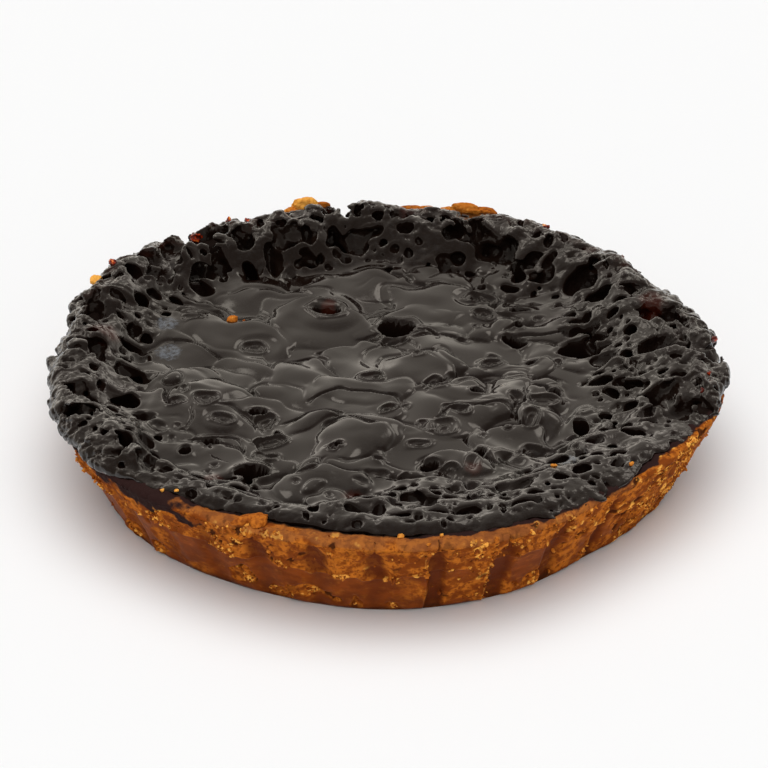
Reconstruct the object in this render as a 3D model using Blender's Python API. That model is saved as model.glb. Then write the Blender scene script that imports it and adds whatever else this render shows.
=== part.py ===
"""A round chocolate tart: a fluted shortcrust case filled with dark chocolate that boiled up and set.

Run with: blender --background --python part.py
Metres, +Z up. The origin is the middle of the underside, -Y is the front of the tart.
"""

import math

import bmesh
import bpy
from mathutils import Vector, noise

MM = 0.001

# Driving dimensions of the pastry case
RIM_RADIUS = 58.5 * MM  # to the top outer edge
BASE_RADIUS = 51.3 * MM  # to the outer edge of the underside
CASE_HEIGHT = 17.4 * MM
FLOOR_THICKNESS = 4.0 * MM
WALL_THICKNESS = 4.2 * MM
RIM_ROUNDING = 0.9 * MM
BASE_CHAMFER = 0.9 * MM

# Flutes pressed into the wall by the tin
FLUTE_COUNT = 36
FLUTE_DEPTH = 1.1 * MM
FLUTE_PHASE = math.radians(-1.0)  # one groove lies this far round from +X
GROOVE_SHARPNESS = 3

# The upper band of the wall stands a little proud of the lower one
BAND_STEP = 0.45 * MM
BAND_HEIGHT = 9.6 * MM
BAND_WAVE = 1.0 * MM

# Driving dimensions of the filling
GAP = 0.3 * MM  # between the filling and the case
POOL_LEVEL = 15.4 * MM  # the smooth middle of the top
CREST_FULL = 20.3 * MM  # top of the frothy rim where it covers the case
CREST_BARE = 18.8 * MM  # and where the rim of the case shows
LIP_FULL = 60.3 * MM  # how far the froth reaches over the case
LIP_BARE = 56.7 * MM
LIP_THICKNESS = 1.5 * MM
POOL_SHARE = 0.68  # the froth climbs from here, as a share of the lip's radius
CREST_SHARE = 0.93
POOL_LUMPS = 0.5 * MM
FROTH_LUMPS = 1.1 * MM
LUMP_SIZE = 7.0 * MM

# The largest burst bubbles: degrees round from +X, then distance from the middle, radius and depth in mm
BURST_BUBBLES = (
    (68, 16, 3.4, 2.6),
    (118, 46, 3.2, 3.4),
    (128, 47, 3.4, 3.6),
    (172, 46, 4.2, 3.8),
    (186, 47, 4.4, 3.8),
    (150, 50, 2.6, 2.6),
    (96, 47, 3.6, 3.0),
    (66, 50, 3.4, 3.2),
    (40, 47, 3.6, 3.4),
    (22, 41, 4.0, 3.2),
    (9, 50, 4.0, 3.4),
    (-22, 44, 3.2, 3.0),
    (-38, 50, 3.0, 2.6),
    (-104, 45, 3.0, 2.4),
    (-134, 44, 3.4, 2.6),
    (-150, 51, 3.4, 2.6),
    (-78, 50, 2.8, 2.2),
    (-58, 47, 2.8, 2.2),
)

# Where the froth draws back and the case's rim shows: the middle and the half-width, in degrees
BARE_RIM = ((-78, 60), (84, 11), (110, 6))
BARE_BLEND = 14  # degrees over which the froth draws back

# How finely the meshes are cut
POINTS_PER_FLUTE = 6
FILLING_POINTS = 132
FROTH_RINGS = 12
POOL_RINGS = 6


def smoothstep(low, high, value):
    share = min(1.0, max(0.0, (value - low) / (high - low)))
    return share * share * (3 - 2 * share)


def plan(angle):
    """The tart isn't quite round: its radius at this angle as a share of the nominal one."""
    return (
        1
        + 0.017 * math.cos(2 * (angle + math.radians(60)))
        + 0.005 * math.cos(4 * (angle + math.radians(17)))
        + 0.010 * math.cos(5 * (angle + math.radians(6)))
    )


def rim_height(angle):
    """The rim of the case rises and sinks a little on its way round."""
    wave = 0.5 * math.sin(angle + 0.4) + 0.22 * math.cos(3 * angle + 1.1)
    return CASE_HEIGHT + wave * MM


def groove(angle):
    """0 on the face of a flute and 1 in the groove between two."""
    turn = 0.5 + 0.5 * math.cos(FLUTE_COUNT * (angle - FLUTE_PHASE))
    return turn**GROOVE_SHARPNESS


def bareness(angle):
    """1 where the case's rim shows, and 0 where froth covers it."""
    shown = 0
    for middle, half in BARE_RIM:
        away = abs((math.degrees(angle) - middle + 180) % 360 - 180)
        shown = max(shown, 1 - smoothstep(half - BARE_BLEND / 2, half + BARE_BLEND / 2, away))
    return shown


def wall_radius(angle, height):
    """The outside of the case at this height, without the band and the grooves."""
    share = height / CASE_HEIGHT
    return (BASE_RADIUS + (RIM_RADIUS - BASE_RADIUS) * share) * plan(angle)


def outside_point(angle, height, inset=0.0):
    """A point of the fluted outside of the case."""
    edge = BAND_HEIGHT + BAND_WAVE * math.sin(5 * angle + 0.7)
    band = smoothstep(edge - 0.5 * MM, edge + 0.5 * MM, height)
    depth = FLUTE_DEPTH * (0.75 + 0.25 * height / CASE_HEIGHT) * groove(angle)
    radius = wall_radius(angle, height) - depth - BAND_STEP * (1 - band) - inset
    return Vector((radius * math.cos(angle), radius * math.sin(angle), height))


def inside_point(angle, height, inset=0.0):
    """A point of the smooth inside of the case."""
    radius = wall_radius(angle, height) - WALL_THICKNESS - inset
    return Vector((radius * math.cos(angle), radius * math.sin(angle), height))


def lip_radius(angle):
    """How far out the froth reaches at this angle."""
    reach = LIP_FULL + (LIP_BARE - LIP_FULL) * bareness(angle)
    return reach * plan(angle) + 0.5 * MM * noise.noise(Vector((6 * angle, 3.1, 0)))


def filling_height(angle, share):
    """Height of the filling's top at this share of the lip's radius."""
    radius = share * lip_radius(angle)
    x, y = radius * math.cos(angle), radius * math.sin(angle)
    froth = smoothstep(POOL_SHARE, CREST_SHARE, share)
    crest = CREST_FULL + (CREST_BARE - CREST_FULL) * bareness(angle)
    lumps = POOL_LUMPS + (FROTH_LUMPS - POOL_LUMPS) * froth
    edge = rim_height(angle) + GAP + LIP_THICKNESS
    height = POOL_LEVEL + (crest - POOL_LEVEL) * froth
    height += lumps * noise.noise(Vector((x, y, 0.3 * LUMP_SIZE)) / LUMP_SIZE)
    for degrees, out, size, depth in BURST_BUBBLES:
        turn = math.radians(degrees)
        away = math.hypot(x - out * MM * math.cos(turn), y - out * MM * math.sin(turn))
        height -= depth * MM * (1 - smoothstep(0.35, 1.0, away / (size * MM)))
    return height + (edge - height) * smoothstep(CREST_SHARE, 1.0, share)


def ring_of(bm, count, point_at):
    """A closed ring of vertices, one for each of count equal turns."""
    turns = [math.tau * i / count for i in range(count)]
    return [bm.verts.new(point_at(turn)) for turn in turns]


def skin(bm, rings):
    """Joins each ring to the next with a band of faces."""
    for low, high in zip(rings, rings[1:]):
        for i in range(len(low)):
            j = (i + 1) % len(low)
            bm.faces.new((low[i], low[j], high[j], high[i]))


def cap(bm, ring, height):
    """Closes a ring with a fan round a point on the axis."""
    middle = bm.verts.new((0, 0, height))
    for i in range(len(ring)):
        bm.faces.new((ring[i - 1], ring[i], middle))


def solid_from(name, bm, material):
    """A named object from a finished mesh, its faces turned to point out."""
    bmesh.ops.recalc_face_normals(bm, faces=bm.faces)
    mesh = bpy.data.meshes.new(name)
    bm.to_mesh(mesh)
    bm.free()
    mesh.materials.append(material)
    mesh.shade_smooth()
    mesh.set_sharp_from_angle(angle=math.radians(40))
    solid = bpy.data.objects.new(name, mesh)
    bpy.context.scene.collection.objects.link(solid)
    return solid


def principled(name, colour, roughness):
    material = bpy.data.materials.new(name)
    material.use_nodes = True
    shader = material.node_tree.nodes["Principled BSDF"]
    shader.inputs["Base Color"].default_value = (*colour, 1)
    shader.inputs["Roughness"].default_value = roughness
    shader.inputs["Metallic"].default_value = 0
    return material


def make_case():
    """The pastry case: a flat floor and a flared, fluted wall with a rounded rim."""
    bm = bmesh.new()
    count = FLUTE_COUNT * POINTS_PER_FLUTE
    rounding = RIM_ROUNDING
    rings = [
        ring_of(bm, count, lambda turn: outside_point(turn, 0, BASE_CHAMFER)),
        ring_of(bm, count, lambda turn: outside_point(turn, BASE_CHAMFER)),
    ]
    for side in (-1, 1):  # just below and just above the step of the band
        rings.append(
            ring_of(
                bm,
                count,
                lambda turn, side=side: outside_point(
                    turn, BAND_HEIGHT + BAND_WAVE * math.sin(5 * turn + 0.7) + side * 0.5 * MM
                ),
            )
        )
    rings += [
        ring_of(bm, count, lambda turn: outside_point(turn, rim_height(turn) - rounding)),
        ring_of(bm, count, lambda turn: outside_point(turn, rim_height(turn), rounding)),
        ring_of(bm, count, lambda turn: inside_point(turn, rim_height(turn))),
        ring_of(bm, count, lambda turn: inside_point(turn, FLOOR_THICKNESS)),
    ]
    skin(bm, rings)
    cap(bm, rings[0], 0)
    cap(bm, rings[-1], FLOOR_THICKNESS)
    return solid_from("crust", bm, principled("baked_shortcrust", (0.47, 0.19, 0.05), 0.7))


def make_filling():
    """The chocolate: it fills the case, and its frothy rim stands above the case and laps over it."""
    bm = bmesh.new()
    count = FILLING_POINTS

    def bottom(turn):
        return inside_point(turn, FLOOR_THICKNESS + GAP, GAP)

    def neck(turn):
        return inside_point(turn, rim_height(turn) + GAP, GAP)

    def lip(turn, inset, rise):
        radius = lip_radius(turn) - inset
        height = rim_height(turn) + GAP + rise
        return Vector((radius * math.cos(turn), radius * math.sin(turn), height))

    def top(turn, share):
        radius = lip_radius(turn) * share
        height = filling_height(turn, share)
        return Vector((radius * math.cos(turn), radius * math.sin(turn), height))

    rings = [
        ring_of(bm, count, bottom),
        ring_of(bm, count, neck),
        ring_of(bm, count, lambda turn: lip(turn, 0.4 * MM, 0)),
        ring_of(bm, count, lambda turn: lip(turn, 0, 0.5 * LIP_THICKNESS)),
    ]
    shares = [0.99 - (0.99 - POOL_SHARE) * i / FROTH_RINGS for i in range(FROTH_RINGS)]
    shares += [POOL_SHARE * (1 - i / POOL_RINGS) for i in range(POOL_RINGS)]
    for share in shares:
        rings.append(ring_of(bm, count, lambda turn, share=share: top(turn, share)))
    skin(bm, rings)
    cap(bm, rings[0], FLOOR_THICKNESS + GAP)
    cap(bm, rings[-1], filling_height(0, 0))
    return solid_from("filling", bm, principled("set_dark_chocolate", (0.018, 0.011, 0.007), 0.22))


def main():
    for old in list(bpy.data.objects):
        bpy.data.objects.remove(old)
    tart = bpy.data.objects.new("tart", None)
    bpy.context.scene.collection.objects.link(tart)
    for solid in (make_case(), make_filling()):
        solid.parent = tart


main()
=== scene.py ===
"""Looks of a round chocolate tart: a fluted shortcrust case and a filling that boiled up and set.

Laid out as a Blender add-on and run as a script. Each operator makes one piece, or one group of
like pieces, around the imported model, and main() calls them in order. Lengths are worked out in
millimetres and turned to metres where a mesh or an object is made.
"""

import math

import bmesh
import bpy
import numpy as np
from mathutils import Euler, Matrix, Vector


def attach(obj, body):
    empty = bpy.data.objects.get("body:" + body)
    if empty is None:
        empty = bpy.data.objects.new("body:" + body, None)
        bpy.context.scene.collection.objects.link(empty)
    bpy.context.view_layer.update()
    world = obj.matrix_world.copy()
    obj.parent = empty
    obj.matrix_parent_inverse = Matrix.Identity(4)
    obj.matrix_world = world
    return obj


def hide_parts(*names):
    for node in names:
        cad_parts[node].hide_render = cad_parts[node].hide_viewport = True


bl_info = {
    "name": "Chocolate tart",
    "version": (1, 0, 0),
    "blender": (4, 5, 0),
    "location": "View3D > Sidebar > Tart",
    "description": "Fluted shortcrust case, boiled and set chocolate filling, crumbs and stage",
    "category": "Object",
}

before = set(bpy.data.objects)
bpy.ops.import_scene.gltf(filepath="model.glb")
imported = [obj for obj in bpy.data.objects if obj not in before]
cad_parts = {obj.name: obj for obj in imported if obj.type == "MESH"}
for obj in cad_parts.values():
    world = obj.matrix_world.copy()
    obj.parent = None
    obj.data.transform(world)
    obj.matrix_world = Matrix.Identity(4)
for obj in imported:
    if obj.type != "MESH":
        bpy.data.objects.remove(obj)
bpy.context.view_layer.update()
MM = 0.001
BODY = "root"


# ---------------------------------------------------------------- colours and nodes

# Settings of nodes that are used in several materials
SMOOTHLY = {"interpolation_type": "SMOOTHSTEP"}
MIX_COLOURS = {"data_type": "RGBA"}
SCALE_AND_ADD = {"operation": "MULTIPLY_ADD"}


def from_hex(code):
    """An sRGB hex colour as the linear red, green and blue that shaders take."""
    shares = (int(code[i : i + 2], 16) / 255 for i in (0, 2, 4))
    return tuple(s / 12.92 if s <= 0.04045 else ((s + 0.055) / 1.055) ** 2.4 for s in shares)


def add_node(tree, kind, settings=None, **links):
    """Adds a node, sets its properties, and fills or links its inputs by name.

    An input's name is written with _ for a space; a trailing number picks an input by its place.
    """
    node = tree.nodes.new(kind)
    for key, value in (settings or {}).items():
        setattr(node, key, value)
    for key, value in links.items():
        last = key.rsplit("_", 1)[-1]
        socket = node.inputs[int(last)] if last.isdigit() else node.inputs[key.replace("_", " ")]
        if isinstance(value, bpy.types.NodeSocket):
            tree.links.new(value, socket)
        else:
            socket.default_value = value
    return node


def new_material(name):
    """An empty node material, its tree and its output node."""
    material = bpy.data.materials.new(name)
    material.use_nodes = True
    material.node_tree.nodes.clear()
    return material, material.node_tree, material.node_tree.nodes.new("ShaderNodeOutputMaterial")


# ---------------------------------------------------------------- sizes and colours to change


class TartCase(bpy.types.PropertyGroup):
    """Sizes of the pastry case."""

    rim_radius: bpy.props.FloatProperty(
        name="Rim radius", description="To the top outer edge", default=0.0585, unit="LENGTH"
    )
    base_radius: bpy.props.FloatProperty(
        name="Base radius", description="To the edge of the underside", default=0.0513, unit="LENGTH"
    )
    height: bpy.props.FloatProperty(
        name="Height", description="From the table to the rim", default=0.0174, unit="LENGTH"
    )
    wall: bpy.props.FloatProperty(
        name="Wall", description="Thickness of the wall", default=0.0042, unit="LENGTH"
    )
    flutes: bpy.props.IntProperty(name="Flutes", description="Pressed by the tin", default=36)
    flute_depth: bpy.props.FloatProperty(
        name="Flute depth", description="Of the grooves between flutes", default=0.0012, unit="LENGTH"
    )
    band_height: bpy.props.FloatProperty(
        name="Band height", description="Where the rough upper band starts", default=0.0096, unit="LENGTH"
    )
    band_step: bpy.props.FloatProperty(
        name="Band step", description="How far the band stands proud", default=0.00055, unit="LENGTH"
    )
    grain: bpy.props.FloatProperty(
        name="Grain", description="Spacing of the net", default=0.00033, unit="LENGTH", precision=5
    )
    crumbs: bpy.props.IntProperty(name="Crumbs", description="Loose on the rough parts", default=1500)
    seed: bpy.props.IntProperty(name="Seed", description="Another number gives other tears", default=3)


class TartFilling(bpy.types.PropertyGroup):
    """Sizes of the filling."""

    grain: bpy.props.FloatProperty(
        name="Grain", description="Spacing of the grid that the surface is cut from", default=0.00032,
        unit="LENGTH", precision=5,
    )
    pool_level: bpy.props.FloatProperty(
        name="Pool level", description="Height of the smooth middle", default=0.0154, unit="LENGTH"
    )
    crest: bpy.props.FloatProperty(
        name="Crest", description="Top of the froth where it covers the case", default=0.0203, unit="LENGTH"
    )
    bare_crest: bpy.props.FloatProperty(
        name="Bare crest", description="Top of the froth where the rim shows", default=0.0184, unit="LENGTH"
    )
    lip: bpy.props.FloatProperty(
        name="Lip", description="How far the froth reaches over the case", default=0.0593, unit="LENGTH"
    )
    bare_lip: bpy.props.FloatProperty(
        name="Bare lip", description="How far it reaches where the rim shows", default=0.0562, unit="LENGTH"
    )
    bubbles: bpy.props.IntProperty(
        name="Seed", description="Another number gives other bubbles", default=7
    )


class TartColours(bpy.types.PropertyGroup):
    """Colours of the tart and the stage."""

    skin: bpy.props.FloatVectorProperty(
        name="Skin", description="Pastry pressed smooth by the tin", subtype="COLOR",
        default=from_hex("843e0f"),
    )
    skin_dark: bpy.props.FloatVectorProperty(
        name="Dark skin", description="Where the skin browned more", subtype="COLOR",
        default=from_hex("6b300a"),
    )
    skin_light: bpy.props.FloatVectorProperty(
        name="Light skin", description="Where the skin is thin", subtype="COLOR", default=from_hex("9c5819")
    )
    crumb: bpy.props.FloatVectorProperty(
        name="Crumb", description="Broken, crumbly pastry", subtype="COLOR", default=from_hex("bb6a20")
    )
    crumb_dark: bpy.props.FloatVectorProperty(
        name="Dark crumb", description="Between the grains", subtype="COLOR", default=from_hex("7c3b10")
    )
    crumb_light: bpy.props.FloatVectorProperty(
        name="Light crumb", description="Grains that stand out", subtype="COLOR", default=from_hex("f2ad4c")
    )
    rim: bpy.props.FloatVectorProperty(
        name="Rim", description="Matt top of the wall", subtype="COLOR", default=from_hex("8a5630")
    )
    # browner pastry in the grooves, darkened further with painted shade
    groove: bpy.props.FloatVectorProperty(
        name="Groove", description="Darker pastry in the grooves", subtype="COLOR", default=from_hex("55230d")
    )
    # painted shade in cracks, pits, hollows, between grains and along the foot
    crevice_shade: bpy.props.FloatVectorProperty(
        name="Crack", description="Deep cracks, pits and the foot", subtype="COLOR",
        default=from_hex("3a1a0a"),
    )
    stain: bpy.props.FloatVectorProperty(
        name="Stain", description="Burnt by the filling", subtype="COLOR", default=from_hex("2c1b19")
    )
    chocolate: bpy.props.FloatVectorProperty(
        name="Chocolate", description="Body of the filling", subtype="COLOR", default=from_hex("150c08")
    )
    # red-brown of thin chocolate, brightened with painted light shining through it
    thin_and_backlit: bpy.props.FloatVectorProperty(
        name="Thin chocolate", description="Red-brown where it set thin", subtype="COLOR",
        default=from_hex("300e05"),
    )
    # painted grey-blue sheen on a few patches of the chocolate
    sheen_patch: bpy.props.FloatVectorProperty(
        name="Bloom", description="Sugar on the chocolate", subtype="COLOR", default=from_hex("666c74")
    )
    # amber: burnt sugar's own colour, and in the drops partly painted light shining through thin sugar
    amber: bpy.props.FloatVectorProperty(
        name="Amber", description="Thin burnt sugar", subtype="COLOR", default=from_hex("b43406")
    )
    amber_dark: bpy.props.FloatVectorProperty(
        name="Dark amber", description="Deep burnt sugar", subtype="COLOR", default=from_hex("4c0e04")
    )
    floor: bpy.props.FloatVectorProperty(
        name="Floor", description="Pale table", subtype="COLOR", default=from_hex("f4f4f4")
    )


# ---------------------------------------------------------------- the tart's outline, in millimetres

# Directions are degrees round from +X, so the front of the tart is -90.
# Where the case's rim shows: the middle and the half-width
BARE_FRONT = ((-78, 60),)
BARE_REAR = ((84, 11), (110, 6))
BARE_BLEND = 7  # half the degrees over which the froth draws back
# Hills along the way round, each with its middle, half-width and height in millimetres: where the
# case and the filling bulge out, where the filling laps further or less far over the rim, where the
# rim rises, and where the crest of the froth does
BULGES = ((-138, 34, 1.2), (-92, 16, 0.6), (-48, 10, -0.9), (-12, 14, 1.3))
LAPS = (
    (-103, 15, -1.7), (-51, 12, 2.0), (-28, 11, 0.9), (172, 10, -1.5),
    (148, 8, 0.7), (95, 38, 0.9), (38, 10, 1.3), (12, 9, 0.8),
)
RIM_RISES = ((-103, 26, 0.6),)
CREST_RISES = ((100, 52, 1.3),)


def smooth(low, high, value):
    """0 below low, 1 above high, and a smooth rise between."""
    share = np.clip((np.asarray(value, float) - low) / (high - low), 0, 1)
    return share * share * (3 - 2 * share)


def away_from(angle, degrees):
    """How many degrees each angle lies from the given direction, either way."""
    return np.abs((np.degrees(angle) - degrees + 180) % 360 - 180)


def hills(angle, places):
    """The sum of rounded hills along the way round, in millimetres."""
    return sum(high * np.exp(-((away_from(angle, middle) / half) ** 2)) for middle, half, high in places)


def plan(angle):
    """The tart isn't quite round: its radius at this angle as a share of the nominal one."""
    return (
        1
        + 0.017 * np.cos(2 * (angle + math.radians(60)))
        + 0.005 * np.cos(4 * (angle + math.radians(17)))
        + 0.010 * np.cos(5 * (angle + math.radians(6)))
    )


def rim_height(angle):
    """The rim of the case rises and sinks a little on its way round."""
    case = bpy.context.scene.tart_case
    wave = 0.5 * np.sin(angle + 0.4) + 0.22 * np.cos(3 * angle + 1.1)
    return case.height / MM + wave + hills(angle, RIM_RISES)


def bareness(angle, places=BARE_FRONT + BARE_REAR):
    """1 where the case's rim shows, and 0 where froth covers it."""
    shown = np.zeros_like(angle)
    for middle, half in places:
        low, high = half - BARE_BLEND, half + BARE_BLEND
        shown = np.maximum(shown, 1 - smooth(low, high, away_from(angle, middle)))
    return shown


def wall_radius(angle, height):
    """The outside of the case at this height, without the band and the grooves."""
    case = bpy.context.scene.tart_case
    share = height / (case.height / MM)
    plain = (case.base_radius + (case.rim_radius - case.base_radius) * share) / MM * plan(angle)
    return plain + hills(angle, BULGES)


def lip_radius(angle):
    """How far out the froth reaches at this angle."""
    filling = bpy.context.scene.tart_filling
    reach = filling.lip + (filling.bare_lip - filling.lip) * bareness(angle)
    return reach / MM * plan(angle) + hills(angle, BULGES + LAPS)


# ---------------------------------------------------------------- smooth random fields

SPREAD_LEFT = 0.69  # what spline weights along one axis leave of random numbers' spread


def spline_weights(places, cell, turn=0):
    """Rows of cubic B-spline weights that spread a lattice with this cell over the places.

    With turn, the places go round and the lattice meets itself after that length.
    """
    count = max(4, round(turn / cell)) if turn else 0
    at = (places - places.min()) / (turn / count if turn else cell)
    base = np.floor(at).astype(int)
    t = at - base
    shares = ((1 - t) ** 3, 3 * t**3 - 6 * t**2 + 4, -3 * t**3 + 3 * t**2 + 3 * t + 1, t**3)
    weights = np.zeros((len(places), count or base.max() + 4))
    for i, share in enumerate(shares):
        column = (base + i) % count if turn else base + i
        weights[np.arange(len(places)), column] += share / 6
    return weights


def relief(rng, axes, cell):
    """A smooth random field over a grid, with bumps some two cells across.

    Its spread is about 1 over two axes and 1.4 over three.
    """
    weights = [spline_weights(axis, cell) for axis in axes]
    field = rng.normal(size=[w.shape[1] for w in weights])
    for w in weights:
        field = np.tensordot(field, w, axes=(0, 1))
    return (field / SPREAD_LEFT ** (2 * len(axes)) * 0.47).astype(np.float32)


def run_together(first, second, soft):
    """The higher of two fields, with the edge where they meet rounded over the soft width."""
    blend = np.maximum(soft - np.abs(first - second), 0) / soft
    return np.maximum(first, second) + blend * blend * soft / 4


def look_up(grid, low, step, *places):
    """Reads a sampled field between its samples, one array of places for each axis."""
    total = 0
    cells, shares = [], []
    for size, start, place in zip(grid.shape, low, places):
        at = np.clip((place - start) / step, 0, size - 1.001)
        cells.append(at.astype(int))
        shares.append(at - cells[-1])
    for corner in np.ndindex(*(2,) * len(places)):
        weight = 1
        for side, share in zip(corner, shares):
            weight = weight * (share if side else 1 - share)
        total = total + weight * grid[tuple(c + side for c, side in zip(cells, corner))]
    return total


# ---------------------------------------------------------------- surfaces cut from a solid field


def surface_net(field, keep):
    """Corners, in grid steps, and quads of the skin of what is inside: field under 0, and kept.

    Where the skin is only the edge of what is kept, its corners are the middles of their cells, and
    elsewhere they lie on the field's zero, so two pieces kept apart meet without a seam.
    """
    inside = (field < 0) & keep
    cell_shape = tuple(n - 1 for n in field.shape)
    corners = [np.array(c) for c in np.ndindex(2, 2, 2)]
    filled = np.zeros(cell_shape, np.uint8)
    for c in corners:
        filled += inside[tuple(slice(o, o + n) for o, n in zip(c, cell_shape))]
    cells = np.argwhere((filled > 0) & (filled < 8))
    values = [field[tuple((cells + c).T)] for c in corners]
    total = np.zeros((len(cells), 3))
    count = np.zeros(len(cells))
    for i, start in enumerate(corners):
        for j, end in enumerate(corners):
            if j > i and np.abs(end - start).sum() == 1:
                crosses = (values[i] < 0) != (values[j] < 0)
                share = np.where(crosses, values[i] / np.where(crosses, values[i] - values[j], 1), 0)
                total += crosses[:, None] * (start + share[:, None] * (end - start))
                count += crosses
    found = count > 0
    places = cells + np.where(found[:, None], total / np.maximum(count, 1)[:, None], 0.5)
    index = np.full(cell_shape, -1, np.int32)
    index[tuple(cells.T)] = np.arange(len(cells))
    quads = []
    for axis in range(3):
        first, second = (axis + 1) % 3, (axis + 2) % 3
        here = [slice(1, -1)] * 3
        here[axis] = slice(0, -1)
        there = list(here)
        there[axis] = slice(1, None)
        leaves = inside[tuple(here)].astype(np.int8) - inside[tuple(there)]
        edges = np.argwhere(leaves)
        outward = leaves[tuple(edges.T)] > 0
        edges += np.array([0 if i == axis else 1 for i in range(3)])
        loop = []
        for a, b in ((1, 1), (0, 1), (0, 0), (1, 0)):
            cell = edges.copy()
            cell[:, first] -= a
            cell[:, second] -= b
            loop.append(index[tuple(cell.T)])
        quad = np.stack(loop, 1)
        quads.append(np.where(outward[:, None], quad, quad[:, ::-1]))
    return places, np.concatenate(quads)


class Dough:
    """A solid field over a box, in millimetres, under 0 inside, which bubbles are taken out of.

    Bubbles are measured in places bent by a random field, so none comes out round.
    """

    def __init__(self, rng, low, high, step, bend, bend_cell):
        self.low, self.step = np.array(low, float), step
        counts = [int(round((b - a) / step)) + 1 for a, b in zip(low, high)]
        self.axes = [a + step * np.arange(n) for a, n in zip(low, counts)]
        self.field = None
        self.bent = [
            bend * relief(rng, self.axes, bend_cell)
            + axis.astype(np.float32).reshape([-1 if i == j else 1 for j in range(3)])
            for i, axis in enumerate(self.axes)
        ]
        self.margin = 2.5 * bend

    def window(self, centre, reach):
        """The part of the box within reach of a place."""
        lows = np.floor((np.array(centre) - reach - self.low) / self.step).astype(int)
        highs = np.ceil((np.array(centre) + reach - self.low) / self.step).astype(int) + 1
        return tuple(slice(max(a, 0), max(b, 0)) for a, b in zip(lows, highs))

    def carve(self, centre, radii, turn, soft, lean=0.0):
        """Takes out a bubble shaped like an egg, its edge rounded over the soft width."""
        part = self.window(centre, max(radii) + self.margin + 0.5)
        x, y, z = (b[part] - c for b, c in zip(self.bent, centre))
        along = x * math.cos(turn) + y * math.sin(turn)
        across = y * math.cos(turn) - x * math.sin(turn)
        up = z - lean * along
        share = np.sqrt((along / radii[0]) ** 2 + (across / radii[1]) ** 2 + (up / radii[2]) ** 2)
        away = (share - 1) * min(radii)
        self.field[part] = run_together(self.field[part], -away, soft)

    def soften(self):
        """Blurs the field, which rounds edges and takes away what is thin."""
        self.field = np.clip(self.field, -0.8, 0.8)
        for axis in range(3):
            first, last, middle = ([slice(None)] * 3 for _ in range(3))
            first[axis], last[axis], middle[axis] = slice(0, -1), slice(1, None), slice(1, -1)
            half = 0.5 * (self.field[tuple(first)] + self.field[tuple(last)])
            self.field[tuple(middle)] = 0.5 * (half[tuple(first)] + half[tuple(last)])

    def slopes(self, places):
        """The field's direction of steepest rise at each place, which is the surface's normal."""
        normals = np.zeros_like(places)
        for i in range(3):
            ahead, behind = places.copy(), places.copy()
            ahead[:, i] += self.step * 0.7
            behind[:, i] -= self.step * 0.7
            normals[:, i] = look_up(self.field, self.low, self.step, *ahead.T) - look_up(
                self.field, self.low, self.step, *behind.T
            )
        return normals / np.maximum(np.linalg.norm(normals, axis=1), 1e-9)[:, None]


def close_edges(bm, height=None):
    """Fills the open edges of a mesh, first drawn down to this height if one is given."""
    if height is not None:
        lowered = {}
        for edge in [e for e in bm.edges if e.is_boundary]:
            loop = edge.link_loops[0]
            start, end = loop.vert, loop.link_loop_next.vert
            for corner in (start, end):
                if corner not in lowered:
                    lowered[corner] = bm.verts.new((corner.co.x, corner.co.y, height), corner)
            bm.faces.new((end, start, lowered[start], lowered[end]))
    bmesh.ops.holes_fill(bm, edges=[e for e in bm.edges if e.is_boundary], sides=0)


def mesh_object(name, places, faces, material, normals=None, close=None, **shares):
    """An object from corners in millimetres, with smooth shading.

    normals sets its shading. close fills each open edge: "flat" as it is, a number at this height.
    Each further argument is a number for each corner that the material reads by its name.
    """
    mesh = bpy.data.meshes.new(name)
    mesh.vertices.add(len(places))
    mesh.vertices.foreach_set("co", (places * MM).astype(np.float32).ravel())
    mesh.loops.add(faces.size)
    mesh.loops.foreach_set("vertex_index", faces.astype(np.int32).ravel())
    mesh.polygons.add(len(faces))
    mesh.polygons.foreach_set("loop_start", np.arange(0, faces.size, faces.shape[1], dtype=np.int32))
    mesh.update(calc_edges=True)
    for key, values in shares.items():
        mesh.attributes.new(key, "FLOAT", "POINT").data.foreach_set("value", values.astype(np.float32))
    if close is not None:
        bm = bmesh.new()
        bm.from_mesh(mesh)
        close_edges(bm, None if close == "flat" else close * MM)
        bm.to_mesh(mesh)
        bm.free()
    mesh.shade_smooth()
    if normals is not None:
        added = len(mesh.vertices) - len(places)
        mesh.normals_split_custom_set_from_vertices(np.vstack((normals, np.tile((0, 0, -1), (added, 1)))))
    mesh.materials.append(material)
    piece = bpy.data.objects.new(name, mesh)
    bpy.context.scene.collection.objects.link(piece)
    return piece


# ---------------------------------------------------------------- the filling

TOP_REACH = 64.0  # half the side of the square that the top is worked out over
TOP_STEP = 0.14  # spacing of its grid
FROTH_REACH = 61.5  # no bubble lies further out
FROTH_LOW, FROTH_HIGH = 11.9, 24.0  # the heights that the froth is cut between
POOL_BOTTOM = 8  # the height that the edge of the pool's sheet is drawn down to
POOL_REACH = 47  # the pool's marks lie nearer the middle than this
POOL_BURSTS = 40  # and so do the bursts that are shaped in its sheet
# The three parts of the froth, each from one direction to another
FROTH_PARTS = (("left", 144, 270), ("right", -90, 36), ("back", 36, 144))
# How the sizes of the small bubbles are shared out: radius, and how many are tried
BUBBLE_SIZES = ((1.9, 220), (1.5, 600), (1.15, 1300), (0.85, 2800), (0.6, 6000), (0.45, 8000))
# Creases in the froth: how far apart, and how deep towards the pool and along the outside
CREASES = ((1.7, 0.15, 0.34), (0.85, 0.07, 0.26), (0.5, 0.02, 0.12))
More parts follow.
